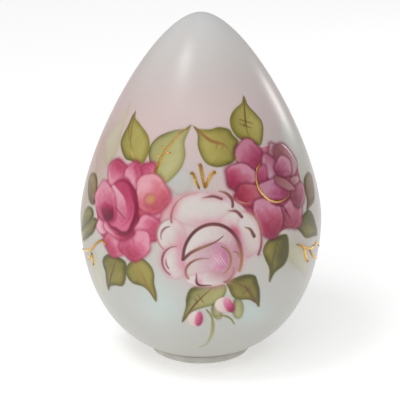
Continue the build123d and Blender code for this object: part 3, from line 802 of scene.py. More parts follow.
centre_rose = [
    cream_petal(ellipse((4, 16), 15.5, 13, 60), (2, 4), (2, 30), heart=(3, 10)),
    cream_petal(ruffle((0.5, 27), 10, 5.6, 0), (2, 15), (0, 27)),
    cream_petal(ruffle((11, 22), 4.6, 4, 20), (10, 15), (12, 22)),
    cream_petal(ruffle((16.6, 17.5), 7.8, 4.6, 100), (12, 11), (18, 19)),
    cream_petal(ellipse((-10, 18.2), 5.4, 5, 90), (-4, 14), (-12, 19)),
    cream_petal(ellipse((-8.6, 9), 5.9, 4.8, 90), (-3.5, 9), (-10.5, 8)),
    cream_petal(ellipse((4, 11), 11, 10, 90), (8, 9), (-1, 17), shade_width=1.6),
    glow(CENTRE, (-5.5, 8.5), (2.2, 2.2), "#C8809C", 0.6),
    cream_petal(ellipse((2.8, 9.4), 8.4, 6.4, 25), (8, 9), (-3, 6), BLUSH),
    cream_petal(ellipse((1.2, 6.6), 6.3, 4, 5), (7, 8), (-1, 5.5), BLUSH),
    petal(CENTRE, ellipse((6.2, 9.6), 4.2, 3, 70), VIOLET, (8.5, 9.5), (2.5, 9), soft=1.1, opacity=0.75,
          grain=0.3),
    *(stroke(CENTRE, [(4 + shift, 12), (6.5 + shift, 8)], 0.4, ("#E0C4D0", "#DCBCCA"),
             opacity=0.75) for shift in (0, 1, 2)),
    cream_petal(ellipse((3, 3), 8, 2.9, 5), (6, 5), (3, 0.5)),
    glow(CENTRE, (-0.5, 2), (1.2, 1.6), "#C87896", 0.6),
    glow(CENTRE, (-8.5, 27), (1.4, 3), "#D8A0A2", 0.7),
    glow(CENTRE, (3, 23), (6.5, 1.2), "#D096A2", 0.7),
    glow(CENTRE, (11.5, 19.5), (1.4, 2.4), "#BE5468", 0.85, turn=40),
    glow(CENTRE, (13, 15.5), (1.1, 3.4), "#B44A78", 0.85, turn=12),
    glow(CENTRE, (-7, 14), (1.3, 5.5), "#CE8C9E", 0.75),
    glow(CENTRE, (14.5, 8.5), (1.2, 3.4), "#DCA8B4", 0.6),
    *blushed_line(arc((-1, 24), (9, 8.6), 190, 95), 0.6, ("#7E4448", "#B0766A", "#C49A74"), press=(0.9, 0.4)),
    *blushed_line([(0.5, 31), (4, 31.5), (7, 30.5)], 0.95, ROSEWOOD, press=(0.2, 0.8)),
    line(arc((5.5, 28.5), (5.3, 4.6), 85, -10), 1.1, ROSEWOOD),
    line([(9, 26.5), (12, 26), (14, 24)], 1.0, ROSEWOOD, press=(0.2, 1)),
    line([(15, 20.5), (17, 19.5), (18.5, 17)], 0.95, ("#8A5A44", "#5E3030"), press=(0.2, 1.3)),
    *blushed_line(arc((13.5, 15.5), (7.8, 10.5), 72, -30), 0.75, ("#B08868", "#96664A", "#6A2038"),
                  press=(0.4, 1.1)),
    line(arc((-9.5, 17.8), (5.5, 5.8), 95, 235), 0.55, ("#B08A7C", "#AC7468", "#B0686A"), press=(0.6, 0.6)),
    line(arc((-10, 17.5), (3.6, 3.6), 100, 195), 0.9, ("#8A5458", "#A88078"), press=(0.4, 0.5)),
    *blushed_line(arc((-8, 9), (5.2, 5.5), 92, 240), 0.85, ("#9A6A5C", "#7A4448", "#8E6058"),
                  press=(0.4, 0.8)),
    line(arc((-8.5, 9), (3.4, 3.6), 165, 225), 0.55, ("#8E4A5E", "#8A3A52")),
    line(arc((4, 10), (10, 12.2), 178, -22, 15), 1.15,
         ("#5A2430", "#4E1E22", "#6A3A30", "#561E2E", "#8A5A40", "#A47A4C"),
         press=(0.85, 1.0)),
    line([(-6, 10), (-2.5, 13), (4.5, 16), (7.5, 18)], 1.0, ("#5A2430", "#8A6444", "#5A3034"),
         press=(1.1, 0.25)),
    line(arc((1.5, 5.6), (6.6, 5), 210, 80), 0.9, ("#A8786A", "#7E4C3C", "#96706A"), press=(0.9, 0.25)),
    line(arc((5.5, 9.5), (4.7, 5.2), 70, -60), 0.85, GOLDEN_BROWN, press=(0.7, 0.6)),
    line([(11, 12.5), (12.5, 12), (13, 10.5)], 0.7, GOLDEN_BROWN, press=(0.4, 1)),
    line([(-1.5, 5), (-1, 1), (3.5, 0.5)], 0.9, ("#8A3A5A", "#4E1224", "#6A3A30"), press=(0.3, 0.4)),
    line(arc((7, 6), (4.2, 4.6), 12, -75), 1.0, ("#B06A7A", "#A87A68", "#8E5A44")),
]
print("centre rose marks:", len(centre_rose))

# %% [markdown]
# ## The dusky rose on the right
# The third rose is turned a little away and painted in older, browner pinks. Its bowl is outlined in
# gold, which is a piece of its own further down.

# %% The right rose
DUSK = ("#8A2040", "#9C3650", "#AC4C66", "#B8647C", "#C48298")
DUSK_RED = ("#861C34", "#9A2C44", "#AA4256", "#B45C6C")
MAUVE = ("#8E2648", "#A23E60", "#B05874", "#BA748A")
TAUPE = ("#864A50", "#9A6068", "#A8767C", "#B48E92")
PALE_MAUVE = ("#A45470", "#B06C82", "#BA8294", "#C496A4")
DUSK_EDGE = ("#6E1C34", 0.6)
DUSK_SHADE = ("#5E1228", 0.5)
STRAW_PINK = ("#C08C6C", "#CEA078", "#B88468")


def dusky_petal(outline, dark, light, tones=DUSK, **more):
    """A petal of the right rose."""
    settings = {"edge": DUSK_EDGE, "shade": DUSK_SHADE, "lip": 0.14, "grain": 0.08, "soft": 0.4,
                "shade_width": 0.7} | more
    return petal(RIGHT, outline, tones, dark, light, **settings)


def dusky_line(points, width, codes=("#6A1430", "#5A0E26"), **more):
    """A drawn line of the right rose."""
    return stroke(RIGHT, points, width, codes, **({"opacity": 0.8, "soft": 0.28, "press": (0.4, 0.4)} | more))


right_rose = [
    petal(RIGHT, ellipse((0, 11.5), 15.5, 14.5, 35), DUSK, (0, -6), (0, 34), heart=(1, 12), lift=0.08),
    dusky_petal(ruffle((-6.8, 24.3), 5.4, 5.1, 90), (-3.5, 22), (-8, 27), MAUVE),
    dusky_line(arc((-7, 24.5), (4.6, 5), 165, 275), 0.5, STRAW_PINK),
    dusky_petal(ruffle((-11.8, 17.2), 5.7, 4.8, 10), (-15.5, 14.5), (-10.5, 20)),
    glow(RIGHT, (-14.5, 16.5), (1.6, 2.2), "#A4204E", 0.6),
    dusky_petal(ruffle((-10.4, 10.9), 5.3, 3.9, 0), (-14.5, 10), (-8, 12), DUSK_RED),
    dusky_line(arc((-10.8, 10.8), (4.5, 2.6), 185, 275), 0.5, STRAW_PINK),
    dusky_petal(ruffle((6.8, 1.4), 6.2, 5.2, -15), (5, -3), (7, 4.5),
                ("#84243E", "#9C4258", "#AE5E74", "#BC7C8E")),
    dusky_line([(2.5, 5.5), (5, 0.5)], 0.9, soft=0.4),
    dusky_petal(ruffle((-4, 2.4), 7.4, 6, 108), (-5, -3), (-4.5, 6.5)),
    glow(RIGHT, (-5.5, -1.5), (1.8, 2.4), "#9C2450", 0.7, turn=20),
    dusky_line(arc((-4, 2.2), (5.4, 7), 150, 240), 0.45, ("#9A7A68", "#8E5A50", "#7A3A3A")),
    dusky_line([(1.5, 4.5), (2, 1), (1, -2.5)], 0.8),
    dusky_petal(ruffle((11.6, 7.4), 4.9, 4.6, 0), (9, 5), (14, 10),
                ("#74283C", "#8E4458", "#A0586C", "#AC7080")),
    dusky_line(arc((11.9, 7.3), (4.3, 3.6), 35, -50), 0.4, STRAW_PINK),
    dusky_petal(ruffle((2.8, 24.4), 2.9, 1.8, 60), (1, 22), (4, 26.5), TAUPE),
    dusky_petal(ruffle((0.2, 19), 4.8, 3.2, 105), (2.5, 20), (-1.5, 17), PALE_MAUVE, edge=("#8E4A64", 0.4)),
    dusky_petal(ruffle((8.8, 20), 6.9, 5, -48), (5, 22), (12.5, 18.5), TAUPE),
    dusky_line([(4.5, 24.5), (6.5, 25), (9.5, 22.5)], 0.7, ("#7E3C44", "#A87A78")),
    dusky_petal(ruffle((6.5, 18), 4.6, 3.8, 0), (2.5, 16), (7.5, 21),
                ("#741C44", "#943E60", "#AE6480", "#BC8494")),
    dusky_line(arc((6.4, 17.9), (4.4, 3.7), 155, 275), 0.9, ("#7A2C48", "#5A0E30")),
    dusky_line([(4, 16), (6, 16.5), (9.5, 15.5)], 0.5, ("#8A2C50", "#A84E6C")),
    dusky_petal(ruffle((10.5, 12.2), 3.8, 1.6, 8), (8, 11), (12.5, 13), TAUPE),
    dusky_petal(ruffle((-3.9, 17), 3.6, 2.1, 70), (-5.5, 14), (-2.5, 19), ("#8C2850", "#A23C62", "#B05676")),
    dusky_petal(ruffle((1, 11.3), 7.4, 3.8, -10), (4, 8), (-1, 13.5),
                ("#8C2850", "#A04266", "#AE5C7C", "#BA7C92")),
    dusky_petal(ruffle((5.3, 12.3), 5.4, 1.7, -32), (1, 14), (9, 10.5), ("#8A5054", "#9A6064", "#A67276")),
    dusky_line([(-2.5, 7), (0, 6), (2.5, 5)], 1.1, ("#7A1A34", "#5A0E26"), soft=0.4),
]
print("right rose marks:", len(right_rose))

# %% [markdown]
# ## The small spray at the back
# The back has a single rose so that the egg is finished all round. Its petals follow a rule: three rings,
# each ring smaller, darker and turned by half a petal, with widths that vary a little.


# %% The back rose
def ring_of_petals(chart, heart, count, reach, width, turn, tones):
    """Petal i sits at the angle turn + i / count of a circle, and is an egg shape from the heart outwards."""
    marks = []
    for i in range(count):
        a = math.radians(turn) + 2 * math.pi * i / count
        way, across = np.array([math.cos(a), math.sin(a)]), np.array([-math.sin(a), math.cos(a)])
        far = reach * (1 + 0.07 * math.sin(5 * i + turn))
        places = [(0.1, -0.25), (0.5, -0.8), (0.85, -0.9), (1, -0.3), (1.02, 0.3), (0.85, 0.9), (0.5, 0.8),
                  (0.1, 0.25)]
        outline = [np.array(heart) + far * x * way + width * y * across for x, y in places]
        marks.append(petal(chart, outline, tones, np.array(heart) + way * far * 0.2,
                           np.array(heart) + way * far,
                           edge=PINK_EDGE, shade=PINK_SHADE, heart=heart))
    return marks


BACK_HEART = (0.0, 2.0)
back_rose = [
    *ring_of_petals(BACK, BACK_HEART, 6, 14.0, 7.6, 20, PINK),
    *ring_of_petals(BACK, BACK_HEART, 5, 9.6, 5.6, 50, PINK),
    *ring_of_petals(BACK, BACK_HEART, 4, 6.0, 3.8, 10, PINK_DEEP),
    petal(BACK, ellipse((0, 2.4), 2.8, 2.2, 60), PINK_DEEP, (1, 0.6), (-1, 4.4), edge=PINK_EDGE),
    stroke(BACK, [(-1.4, 1.4), (-0.6, 3.8), (1.2, 3.6), (1.2, 1.6)], 0.6, ("#6E1538", "#6E1538")),
]
PAINTING = [*washes, *shadow_leaves, *leaf_marks, *leaf_lines, *bud_marks]
PAINTING += [*right_rose, *left_rose, *centre_rose, *back_rose]
print("marks in the whole painting:", len(PAINTING))


def paint(azimuth, along):
    """Runs every mark, from the washes up, and returns each place's colour and paint thickness in mm."""
    canvas = blank_canvas(azimuth, along)
    for mark in PAINTING:
        mark(canvas)
    return canvas["colour"], canvas["lift"]

# %% [markdown]
# ## From arrays to a mesh
# Every piece here is a closed skin: a pole, rows of points round it, and a second pole. The same four
# corners make each face, so one helper serves the shell, the petals and the gold. The skin's signed
# volume tells whether its faces point outwards.


# %% Skins
def skin_faces(rows, columns):
    """Quads between neighbouring rows, and a fan of triangles round each pole. The poles come last."""
    i, j = np.meshgrid(np.arange(rows - 1), np.arange(columns), indexing="ij")
    after = (j + 1) % columns
    quads = np.stack([i * columns + j, (i + 1) * columns + j, (i + 1) * columns + after,
                      i * columns + after], -1)
    k = np.arange(columns)
    turn = (k + 1) % columns
    end = (rows - 1) * columns
    first = np.stack([np.full(columns, rows * columns), k, turn], -1)
    last = np.stack([end + k, np.full(columns, rows * columns + 1), end + turn], -1)
    return quads.reshape(-1, 4), np.vstack([first, last])


def outward(points, quads, triangles):
    """Flips the faces if the sum of (a x b) . c over all the triangles, six times the volume, is negative."""
    corners = np.vstack([quads[:, :3], quads[:, [0, 2, 3]], triangles])
    a, b, c = (points[corners[:, n]] for n in range(3))
    if (np.cross(a, b) * c).sum() < 0:
        return quads[:, ::-1], triangles[:, ::-1]
    return quads, triangles


def lay_mesh(name, skins, material, replaced):
    """One object from a list of skins, each (points in mm, colours, quads, triangles)."""
    points, colours, faces, start = [], [], [], 0
    for skin_points, skin_colours, quads, triangles in skins:
        quads, triangles = outward(skin_points, quads, triangles)
        faces += (quads + start).tolist() + (triangles + start).tolist()
        points.append(skin_points * MM)
        colours.append(skin_colours)
        start += len(skin_points)
    mesh = bpy.data.meshes.new(name)
    mesh.from_pydata(np.vstack(points), [], faces)
    mesh.shade_smooth()
    paint_layer = mesh.color_attributes.new("paint", "FLOAT_COLOR", "POINT")
    rgba = np.column_stack([linear(np.vstack(colours)), np.ones(start)]).astype(np.float32)
    paint_layer.data.foreach_set("color", rgba.ravel())
    mesh.materials.append(material)
    piece = bpy.data.objects.new(name, mesh)
    bpy.context.scene.collection.objects.link(piece)
    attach(piece, "root")
    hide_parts(*replaced)
    return piece


# %% [markdown]
# ## Materials
# Porcelain glaze is glass over a white body: a dielectric with an index near 1.5 that mirrors softly. The
# overglaze enamels melt into it and stay a touch rougher. Gold paste is a metal whose painted colour is
# brightest mid-stroke and darker at the ends, a painted highlight. The painted colour comes from each piece's
# own "paint" attribute.


# %% Finishes
def add_node(tree, kind, links=(), **settings):
    """Adds a node. Settings with a socket's name fill that socket, and the others are properties."""
    node = tree.nodes.new(kind)
    for key, value in settings.items():
        if key in node.inputs:
            node.inputs[key].default_value = value
        else:
            setattr(node, key, value)
    for socket, source in links:
        tree.links.new(source, node.inputs[socket])
    return node


def finish(name, roughness, metallic=0.0, ior=1.5, coat=0.0, waviness_mm=5.0, wave_height_mm=0.01,
           spread=0.04):
    """Paint colour, a roughness that varies a little in patches, and a very low wave in the surface."""
    material = bpy.data.materials.new(name)
    material.use_nodes = True
    tree = material.node_tree
    shader = tree.nodes["Principled BSDF"]
    shader.inputs["Metallic"].default_value = metallic
    shader.inputs["Coat Weight"].default_value = coat
    shader.inputs["Coat Roughness"].default_value = 0.06
    if not metallic:
        shader.inputs["IOR"].default_value = ior
    colour = add_node(tree, "ShaderNodeAttribute", attribute_name="paint")
    tree.links.new(colour.outputs["Color"], shader.inputs["Base Color"])
    place = add_node(tree, "ShaderNodeTexCoord").outputs["Object"]
    waves = add_node(tree, "ShaderNodeTexNoise", [("Vector", place)], Scale=1 / (waviness_mm * MM),
                     Detail=2.0)
    level = add_node(tree, "ShaderNodeMapRange", [("Value", waves.outputs["Fac"])],
                     **{"To Min": roughness - spread, "To Max": roughness + spread})
    tree.links.new(level.outputs["Result"], shader.inputs["Roughness"])
    bump = add_node(tree, "ShaderNodeBump", [("Height", waves.outputs["Fac"])], Strength=1.0,
                    Distance=wave_height_mm * MM)
    tree.links.new(bump.outputs["Normal"], shader.inputs["Normal"])
    return material


glaze = finish("glazed_porcelain", roughness=0.31, coat=0.0, waviness_mm=9.0, wave_height_mm=0.015)
enamel = finish("fired_overglaze_enamel", roughness=0.31, coat=0.0, waviness_mm=1.1, wave_height_mm=0.008)
gold_paste = finish("burnished_gold_paste", roughness=0.3, metallic=1.0, waviness_mm=0.8, wave_height_mm=0.02)
bisque = finish("unglazed_porcelain_foot", roughness=0.55, waviness_mm=0.7, wave_height_mm=0.01)

# %% [markdown]
# ## The shell
# A slip-cast egg has an even wall, so its inner side is the outer side moved in by the wall along the
# normal. Rows run from the crown down the outside, under the floor, through the vent hole and up the
# inside. Columns stand closer at the front, where the washes carry more detail.

# %% The shell
COLUMNS = 330
turns = np.linspace(-1, 1, COLUMNS, endpoint=False)
azimuths = math.pi * turns * (0.62 + 0.38 * turns**2)
BISQUE = "#DDD8D0"


def revolve_rows(radii, heights):
    """Each (radius, height) carried round the axis: (r sin a, -r cos a, z)."""
    r, z = np.array(radii, float)[:, None], np.array(heights, float)[:, None]
    rows = np.stack([r * np.sin(azimuths), -r * np.cos(azimuths), z + 0 * azimuths], -1)
    return rows.reshape(-1, 3)


outer_along = np.linspace(SIDE_END, 0, 246)[1:]
azimuth_grid, along_grid = np.meshgrid(azimuths, outer_along)
outer = on_glaze(azimuth_grid.ravel(), along_grid.ravel())
outer_colour, _ = paint(azimuth_grid.ravel(), along_grid.ravel())
floor_edge = FOOT_RADIUS - FOOT_WIDTH
floor = revolve_rows([FOOT_RADIUS - 1, floor_edge, VENT_RADIUS + 1, VENT_RADIUS, VENT_RADIUS,
                      VENT_RADIUS + 1],
                     [FOOT_TOP, FOOT_TOP, FOOT_TOP, FOOT_TOP + 0.4, FOOT_TOP + WALL - 0.4, FOOT_TOP + WALL])
inner_along = np.linspace(0, SIDE_END, 60)[:-1]
inner_radius = np.interp(inner_along, side_length, side[:, 0] - WALL * side_outward[:, 0])
inner_height = np.interp(inner_along, side_length, side[:, 1] - WALL * side_outward[:, 1])
kept = inner_height > FOOT_TOP + WALL + 0.3
inner = revolve_rows(inner_radius[kept], inner_height[kept])
poles = np.array([(0, 0, EGG_TOP), (0, 0, EGG_TOP - WALL)])
shell_points = np.vstack([outer, floor, inner, poles])
shell_colour = np.tile(srgb(BISQUE), (len(shell_points), 1))
shell_colour[: len(outer)] = outer_colour
crown_row = paint(azimuths, np.full(COLUMNS, SIDE_END - 0.01))[0]
shell_colour[-2] = crown_row.mean(axis=0)
shell_faces = skin_faces((len(shell_points) - 2) // COLUMNS, COLUMNS)
lay_mesh("glazed_shell", [(shell_points, shell_colour, *shell_faces)], glaze,
         ["egg_body"])
print("shell points:", len(shell_points), "triangles:", 2 * len(shell_faces[0]) + len(shell_faces[1]))

# %% [markdown]
# ## The foot ring
# The foot is a separate ring stuck on with slip. Its top is drawn in a little, so a fine dark line shows
# where it meets the body, and its lower edge is rounded where the glaze was wiped off. Its colour is painted
# greyer than the bisque inside, and its top rows darker still, as painted shade near the floor and under the
# body.

# %% The foot
FOOT_ROUNDING = 1.3
corner = np.linspace(0, math.pi / 2, 7)
foot_outline = [(floor_edge, FOOT_TOP), (FOOT_RADIUS - 0.6, FOOT_TOP), (FOOT_RADIUS - 0.15, FOOT_TOP - 0.2)]
foot_outline += [(FOOT_RADIUS, FOOT_TOP - 0.5)]
foot_outline += [
    (FOOT_RADIUS - FOOT_ROUNDING * (1 - math.cos(a)), FOOT_ROUNDING * (1 - math.sin(a))) for a in corner
]
foot_outline += [(floor_edge + 0.5, 0.0), (floor_edge, 0.5)]


def torus_faces(rows, columns):
    """Quads between neighbouring rows, with the last row joined to the first."""
    i, j = np.meshgrid(np.arange(rows), np.arange(columns), indexing="ij")
    down, after = (i + 1) % rows, (j + 1) % columns
    quads = np.stack([i * columns + j, down * columns + j, down * columns + after, i * columns + after], -1)
    return quads.reshape(-1, 4), np.zeros((0, 3), int)


foot_points = revolve_rows(*zip(*foot_outline))
# Painted shade: the foot is painted greyer than the bisque inside, where it sits in shade by the floor.
foot_colour_and_shade = np.tile(srgb("#C6C3BC"), (len(foot_points), 1))
foot_colour_and_shade += 0.035 * noise(foot_points[:, 0] / 4 + 50, foot_points[:, 1] / 4 + 50)[:, None]
# Painted shade: the top rows, under the body, are five percent darker.
foot_colour_and_shade[: 3 * COLUMNS] *= 0.95
lay_mesh(
    "foot", [(foot_points, foot_colour_and_shade, *torus_faces(len(foot_outline), COLUMNS))], bisque,
    ["foot_ring"]
)
print("foot points:", len(foot_points))

# %% [markdown]
# ## Petals, leaves and buds as thin raised pieces
# Each motif is a closed sheet of enamel. Its top is a polar grid: rings that run from the middle of the shape
# out to its outline. The painting gives each point its colour and its thickness, the rim dips under the
# glaze, and a coarser underside closes the piece inside the wall.

# %% Enamel pieces
GRID = 0.25
BURIED = -0.35


def even_loop(points, spacing):
    """The closed curve through the points, cut into equal steps, running anticlockwise."""
    loop = curve(points, closed=True)
    ring = np.vstack([loop, loop[:1]])
    far = np.concatenate([[0], np.cumsum(np.hypot(*np.diff(ring, axis=0).T))])
    at = np.linspace(0, far[-1], math.ceil(far[-1] / spacing), endpoint=False)
    loop = np.column_stack([np.interp(at, far, ring[:, k]) for k in range(2)])
    x, y = loop.T
    area = (x * np.roll(y, -1) - y * np.roll(x, -1)).sum()
    return loop if area > 0 else loop[::-1]


def enamel_skin(chart, outline, base, grow=0.35, spacing=GRID):
    """Point = heart + share x ray. Lift = painted thickness + base, which fades to nothing at the rim."""
    loop = even_loop(outline, spacing)
    heart = loop.mean(axis=0)
    ray = loop - heart
    reach = np.hypot(*ray.T)
    ray = ray * (1 + grow / reach)[:, None]
    rings = math.ceil(reach.max() / spacing)
    share = np.arange(1, rings + 1)[:, None] / rings
    uv = (heart + share[..., None] * ray).reshape(-1, 2)
    azimuth, along = from_chart(chart, np.vstack([uv, heart]))
    colour, lift = paint(azimuth, along)
    depth = np.append(((1 - share) * reach).ravel(), reach.min())
    lift = (lift + base) * ease(depth, -0.3, 0.9)
    top = on_glaze(azimuth, along, lift)
    under_share = np.array([1.0, 0.7, 0.4, 0.15])[:, None]
    under_uv = (heart + under_share[..., None] * ray).reshape(-1, 2)
    under = on_glaze(*from_chart(chart, np.vstack([under_uv, heart])), BURIED)
    points = np.vstack([top[:-1], under[:-1], top[-1:], under[-1:]])
    colours = np.vstack([colour[:-1], np.tile(colour[-len(loop) - 1 : -1], (4, 1)), colour[-1:], colour[-1:]])
    return points, colours, *skin_faces(rings + 4, len(loop))


ROSE_OUTLINES = {
    "rose_left": (
        LEFT,
        [(-10.8, 25), (-5.5, 25.6), (1.0, 26.5), (6.0, 25.4), (11.0, 23), (15.2, 18.4), (16, 13), (14.9, 8.4),
         (15.2, 3), (12.4, -1.6), (11, -3.8), (7.4, -7.6), (4.6, -8.6), (1.4, -6.6), (-2.4, -8.2),
         (-6.6, -7.6),
         (-9, -3.4), (-12.8, -0.4), (-14.2, 2.4), (-16, 6.4), (-16, 13), (-12.4, 17.2), (-12, 22)],
    ),
    "rose_centre": (
        CENTRE,
        [(-9.9, 27.0), (-6.6, 31.8), (0.0, 33.0), (6.0, 33.7), (10.6, 30.6), (14.2, 25.8), (18.6, 25.2),
         (21.8, 19.6),
         (21.9, 14), (19.6, 10.4), (15.2, 8.6), (13.8, 4.6), (9.0, 1.2), (3.6, -0.3), (-1.6, 0.2),
         (-6.2, 2.4),
         (-11.4, 3.0), (-13.8, 7.4), (-15.6, 15.0), (-13.8, 22), (-10, 23.9)],
    ),
    "rose_right": (
        RIGHT,
        [(-11.8, 24.4), (-8.4, 28.8), (-4, 29.8), (0.4, 26.8), (5, 27.3), (10.4, 24.4), (14.6, 18.4),
         (15.4, 12),
         (15.8, 7), (12, 2.6), (9.4, -2.2), (4.8, -4.6), (1.2, -4.2), (-3.0, -5.2), (-8, -2), (-10.6, 4.4),
         (-11.6, 7.2), (-15.8, 9.8), (-17.9, 15.4), (-15.4, 21)],
    ),
    "rose_back": (BACK, ellipse((0, 1.2), 15.4, 15, 0, 16)),
}
LEAF_BASE = 0.04
BUD_BASE = 0.07
ROSE_BASE = 0.1

for name, (chart, outline, *_) in LEAVES.items():
    skin = enamel_skin(chart, outline, LEAF_BASE)
    lay_mesh("enamel_" + name, [skin], enamel, [name])
for name, (chart, outline) in BUDS.items():
    lay_mesh("enamel_" + name, [enamel_skin(chart, outline, BUD_BASE)], enamel, [name])
for name, (chart, outline) in ROSE_OUTLINES.items():
    skin = enamel_skin(chart, outline, ROSE_BASE)
    lay_mesh("enamel_" + name, [skin], enamel, [name])
    print(name, "points:", len(skin[0]))

# %% [markdown]
# ## Strokes that stand up: tendrils and gold
# A raised stroke is a half-round ridge. Its path is a smooth curve on the chart, its width swells and
# tapers as the brush is pressed and lifted, and its section is the upper half of an ellipse closed
# by a flat underside below the glaze.

# %% Raised strokes
def ridge(chart, path, width, height, press, base=0.1, tones=None, spacing=GRID):
    """At each place along the path: across = half width x cos(a), lift = base + height x sin(a)."""
    line_points = curve(path, per_span=24)
    far = np.concatenate([[0], np.cumsum(np.hypot(*np.diff(line_points, axis=0).T))])
    steps = max(12, math.ceil(far[-1] / spacing))
    share = np.linspace(0, 1, steps)
    middle = np.column_stack([np.interp(share * far[-1], far, line_points[:, k]) for k in range(2)])
    way = np.gradient(middle, axis=0)
    way /= np.hypot(*way.T)[:, None]
    across = np.column_stack([-way[:, 1], way[:, 0]])
    half = width / 2 * np.interp(share, (0, 0.45, 1), (press[0], 1, press[1])) * np.sqrt(
        np.clip(np.minimum(share, 1 - share) * far[-1] / (width / 2), 0.02, 1)
    )
    angle = np.linspace(0, math.pi, 9)
    aside = np.append(np.cos(angle), [-0.9, 0.9])
    up = np.append(np.sin(angle), [0.0, 0.0])
    uv = middle[:, None] + across[:, None] * half[:, None, None] * aside[None, :, None]
    thick = height * np.sqrt(half / half.max())[:, None] * up[None]
    lift = base + thick
    lift[:, [0, 8, 9, 10]] = BURIED
    uv = np.vstack([uv.reshape(-1, 2), middle[:1] - way[:1] * 0.05, middle[-1:] + way[-1:] * 0.05])
    azimuth, along = from_chart(chart, uv)
    points = on_glaze(azimuth, along, np.append(lift.ravel(), [BURIED / 3, BURIED / 3]))
    if tones:
        # The given tones run along the stroke; for the gold they make a painted highlight, brightest near the
        # middle and darker at the ends.
        colours = ramp(tones, np.append(np.repeat(share, 11), [0, 1]))
        colours = colours * (1 + 0.1 * noise(uv[:, 0] * 2.2 + 40, uv[:, 1] * 2.2 + 40))[:, None]
    else:
        colours = paint(azimuth, along)[0]
    return points, colours, *skin_faces(steps, 11)


for name, (chart, path, width) in TENDRILS.items():
    skin = ridge(chart, path, width, 0.14, (0.6, 0.3), base=0.02)
    lay_mesh("enamel_" + name, [skin], enamel, [name])

# name: (chart, [(path, width, press)], tones)
# Gold tones along a stroke, brightest near its middle and darker at its ends: a painted highlight on the
# metal.
HOOKED_GOLD_AND_SHEEN = ("#A87434", "#DDA950", "#F0C878", "#E2B058", "#9A6A30")
GOLD_AND_SHEEN = ("#B07A35", "#E8B860", "#F0C878", "#E8B860", "#9A6A2C")
GOLD = {
    "gold_sprig_centre": (CROWN, [
        ([(-3.6, -7.6), (-2.9, -7.2), (-2.2, -8.4), (-1.6, -10.2), (-0.4, -12.6)], 1.2, (0.8, 0.6)),
        ([(-0.9, -4.6), (-0.2, -4.4), (0.1, -6), (0.6, -9), (1.4, -12.4)], 1.3, (0.8, 0.6)),
        ([(5.0, -7.5), (4.3, -6.9), (3.4, -8), (2.5, -9.6), (1.5, -12.3)], 1.2, (0.8, 0.6)),
    ], HOOKED_GOLD_AND_SHEEN),
    "gold_sprig_left": (FAR_LEFT, [
        ([(14, -3.2), (9.9, -5.6), (4.9, -9.4), (0, -11.4), (-5, -13), (-14, -15.3)], 0.9, (0.8, 0.3)),
        ([(5.4, -11.7), (3, -13), (0.4, -14.7)], 0.8, (0.6, 0.5)),
        ([(5, -10.5), (5.4, -13), (5.2, -15.5)], 0.7, (0.6, 0.5)),
        ([(13.8, -3.2), (15, -4.4), (16, -4.8)], 0.7, (0.8, 0.5)),
    ], HOOKED_GOLD_AND_SHEEN),
    "gold_sprig_right": (FAR_RIGHT, [
        ([(-15.1, -4.7), (-9.8, -7.2), (-4.2, -9.2), (1.3, -8.9), (9.1, -12.8)], 0.9, (0.6, 0.3)),
        ([(-13.4, -5.6), (-10.9, -6.7), (-8.7, -10.6), (-5.9, -13.9)], 1.0, (0.5, 0.9)),
        ([(-5.9, -9.2), (-2.6, -12.2), (1.3, -14.4), (13.5, -19.2)], 0.9, (0.5, 0.3)),
    ], HOOKED_GOLD_AND_SHEEN),
    "gold_vein_leaf": (LEFT, [
        ([(9.5, 23.2), (10.5, 29), (12, 33), (14.5, 37.5), (17, 40)], 0.95, (1.1, 0.35)),
        ([(8.4, 29.8), (9.6, 29.2), (10.6, 29.2)], 0.5, (0.4, 1)),
        ([(10.7, 29.8), (11.8, 30.6), (13.4, 30.9)], 0.5, (1, 0.4)),
        ([(9.4, 32.8), (10.6, 32.2), (11.6, 32.2)], 0.45, (0.4, 1)),
    ], GOLD_AND_SHEEN),
    "gold_edge_rose_right": (RIGHT, [
        ([(-3.5, 21), (-5.5, 19), (-6.6, 15.5), (-6, 12), (-3.5, 8.7), (0, 7), (4, 7.3), (7, 8.8)], 0.85,
         (0.6, 0.35)),
    ], GOLD_AND_SHEEN),
}
ON_ENAMEL = 0.16
for name, (chart, strokes, tones) in GOLD.items():
    skins = [ridge(chart, path, width, 0.34, press, base=ON_ENAMEL, tones=tones) for path, width,
             press in strokes]
    lay_mesh("raised_" + name, skins, gold_paste, [name])
    print(name, "strokes:", len(skins))

# %% [markdown]
# ## Floor, light and camera
# The white surroundings give most of the light, as a tent of white cloth does round a small object. A broad
# sun in front on the left shapes the egg and is kept out of its reflections. One small lamp above on the
# left makes the glow near the crown, and a tall narrow one behind on the right makes the long streak. The
# floor gives a little light of its own, so that it stays white.


# %% The studio
def plain_material(name, code, roughness, glow_strength):
    """One even colour that also glows a little."""
    material = bpy.data.materials.new(name)
    material.use_nodes = True
    shader = material.node_tree.nodes["Principled BSDF"]
    shader.inputs["Base Color"].default_value = (*linear(srgb(code)), 1)
    shader.inputs["Roughness"].default_value = roughness
    shader.inputs["Specular IOR Level"].default_value = 0.0
    shader.inputs["Emission Color"].default_value = (1, 1, 1, 1)
    shader.inputs["Emission Strength"].default_value = glow_strength
    return material


FLOOR_HALF = 4.0
FLOOR_ROUGHNESS, FLOOR_GLOW = 0.9, 0.3
table_mesh = bpy.data.meshes.new("table")
table_mesh.from_pydata(
    [(x * FLOOR_HALF, y * FLOOR_HALF, 0) for x, y in ((-1, -1), (1, -1), (1, 1), (-1, 1))], [], [(0, 1, 2, 3)]
)
table_mesh.materials.append(plain_material("pale_paper", "#FCFCFC", FLOOR_ROUGHNESS, FLOOR_GLOW))
table = bpy.data.objects.new("table", table_mesh)
bpy.context.scene.collection.objects.link(table)

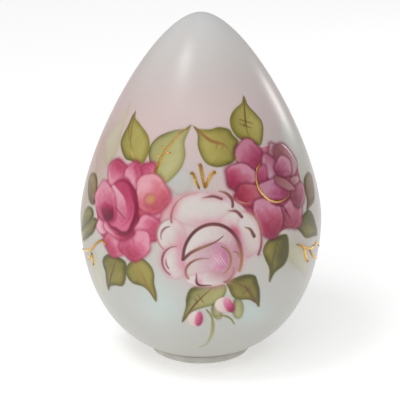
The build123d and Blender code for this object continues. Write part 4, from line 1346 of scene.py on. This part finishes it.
SURROUND_STRENGTH = 0.5
world = bpy.data.worlds.new("studio")
bpy.context.scene.world = world
world.use_nodes = True
world.node_tree.nodes["Background"].inputs["Color"].default_value = (1, 1, 1, 1)
world.node_tree.nodes["Background"].inputs["Strength"].default_value = SURROUND_STRENGTH

EGG_MIDDLE = Vector((0, 0, EGG_TOP / 2 * MM))


def soft_box(name, azimuth, elevation, distance, width, height, power):
    """A rectangular lamp that faces the egg, at an azimuth (0 in front, more to the right) and elevation."""
    lamp = bpy.data.lights.new(name, "AREA")
    lamp.shape = "RECTANGLE"
    lamp.size, lamp.size_y, lamp.energy = width, height, power
    holder = bpy.data.objects.new(name, lamp)
    a, e = math.radians(azimuth), math.radians(elevation)
    way = Vector((math.sin(a) * math.cos(e), -math.cos(a) * math.cos(e), math.sin(e)))
    holder.location = EGG_MIDDLE + way * distance
    holder.rotation_euler = way.to_track_quat("Z", "Y").to_euler()
    bpy.context.scene.collection.objects.link(holder)


soft_box("glow_box", -50, 61, 0.8, 0.2, 0.2, 1.1)
soft_box("streak_box", 131, 13, 0.9, 0.06, 0.16, 0.75)

WINDOW_POWER = 0.77
WINDOW_SPREAD = math.radians(50)
TOWARDS_WINDOW = Vector((-0.36, -0.78, 0.58))
sky = bpy.data.lights.new("window", "SUN")
sky.energy = WINDOW_POWER
sky.angle = WINDOW_SPREAD
window = bpy.data.objects.new("window", sky)
window.visible_glossy = False
window.rotation_euler = TOWARDS_WINDOW.to_track_quat("Z", "Y").to_euler()
bpy.context.scene.collection.objects.link(window)

CAMERA_DISTANCE = 0.450
CAMERA_RISE = math.radians(16)
AIM_BELOW = math.radians(0.72)
AIM_LEFT = math.radians(0.04)
LENS = 110.0
SENSOR_WIDTH = 36.0
NEAREST_SEEN = 0.01
lens = bpy.data.cameras.new("camera")
lens.sensor_width = SENSOR_WIDTH
lens.lens = LENS
lens.clip_start = NEAREST_SEEN
camera = bpy.data.objects.new("camera", lens)
camera.location = EGG_MIDDLE + CAMERA_DISTANCE * Vector((0, -math.cos(CAMERA_RISE), math.sin(CAMERA_RISE)))
camera.rotation_euler = Euler((math.pi / 2 - CAMERA_RISE - AIM_BELOW, 0, AIM_LEFT))
bpy.context.scene.collection.objects.link(camera)
bpy.context.scene.camera = camera
bpy.context.scene.view_settings.view_transform = "Standard"
print("camera lens in mm:", round(lens.lens, 1))
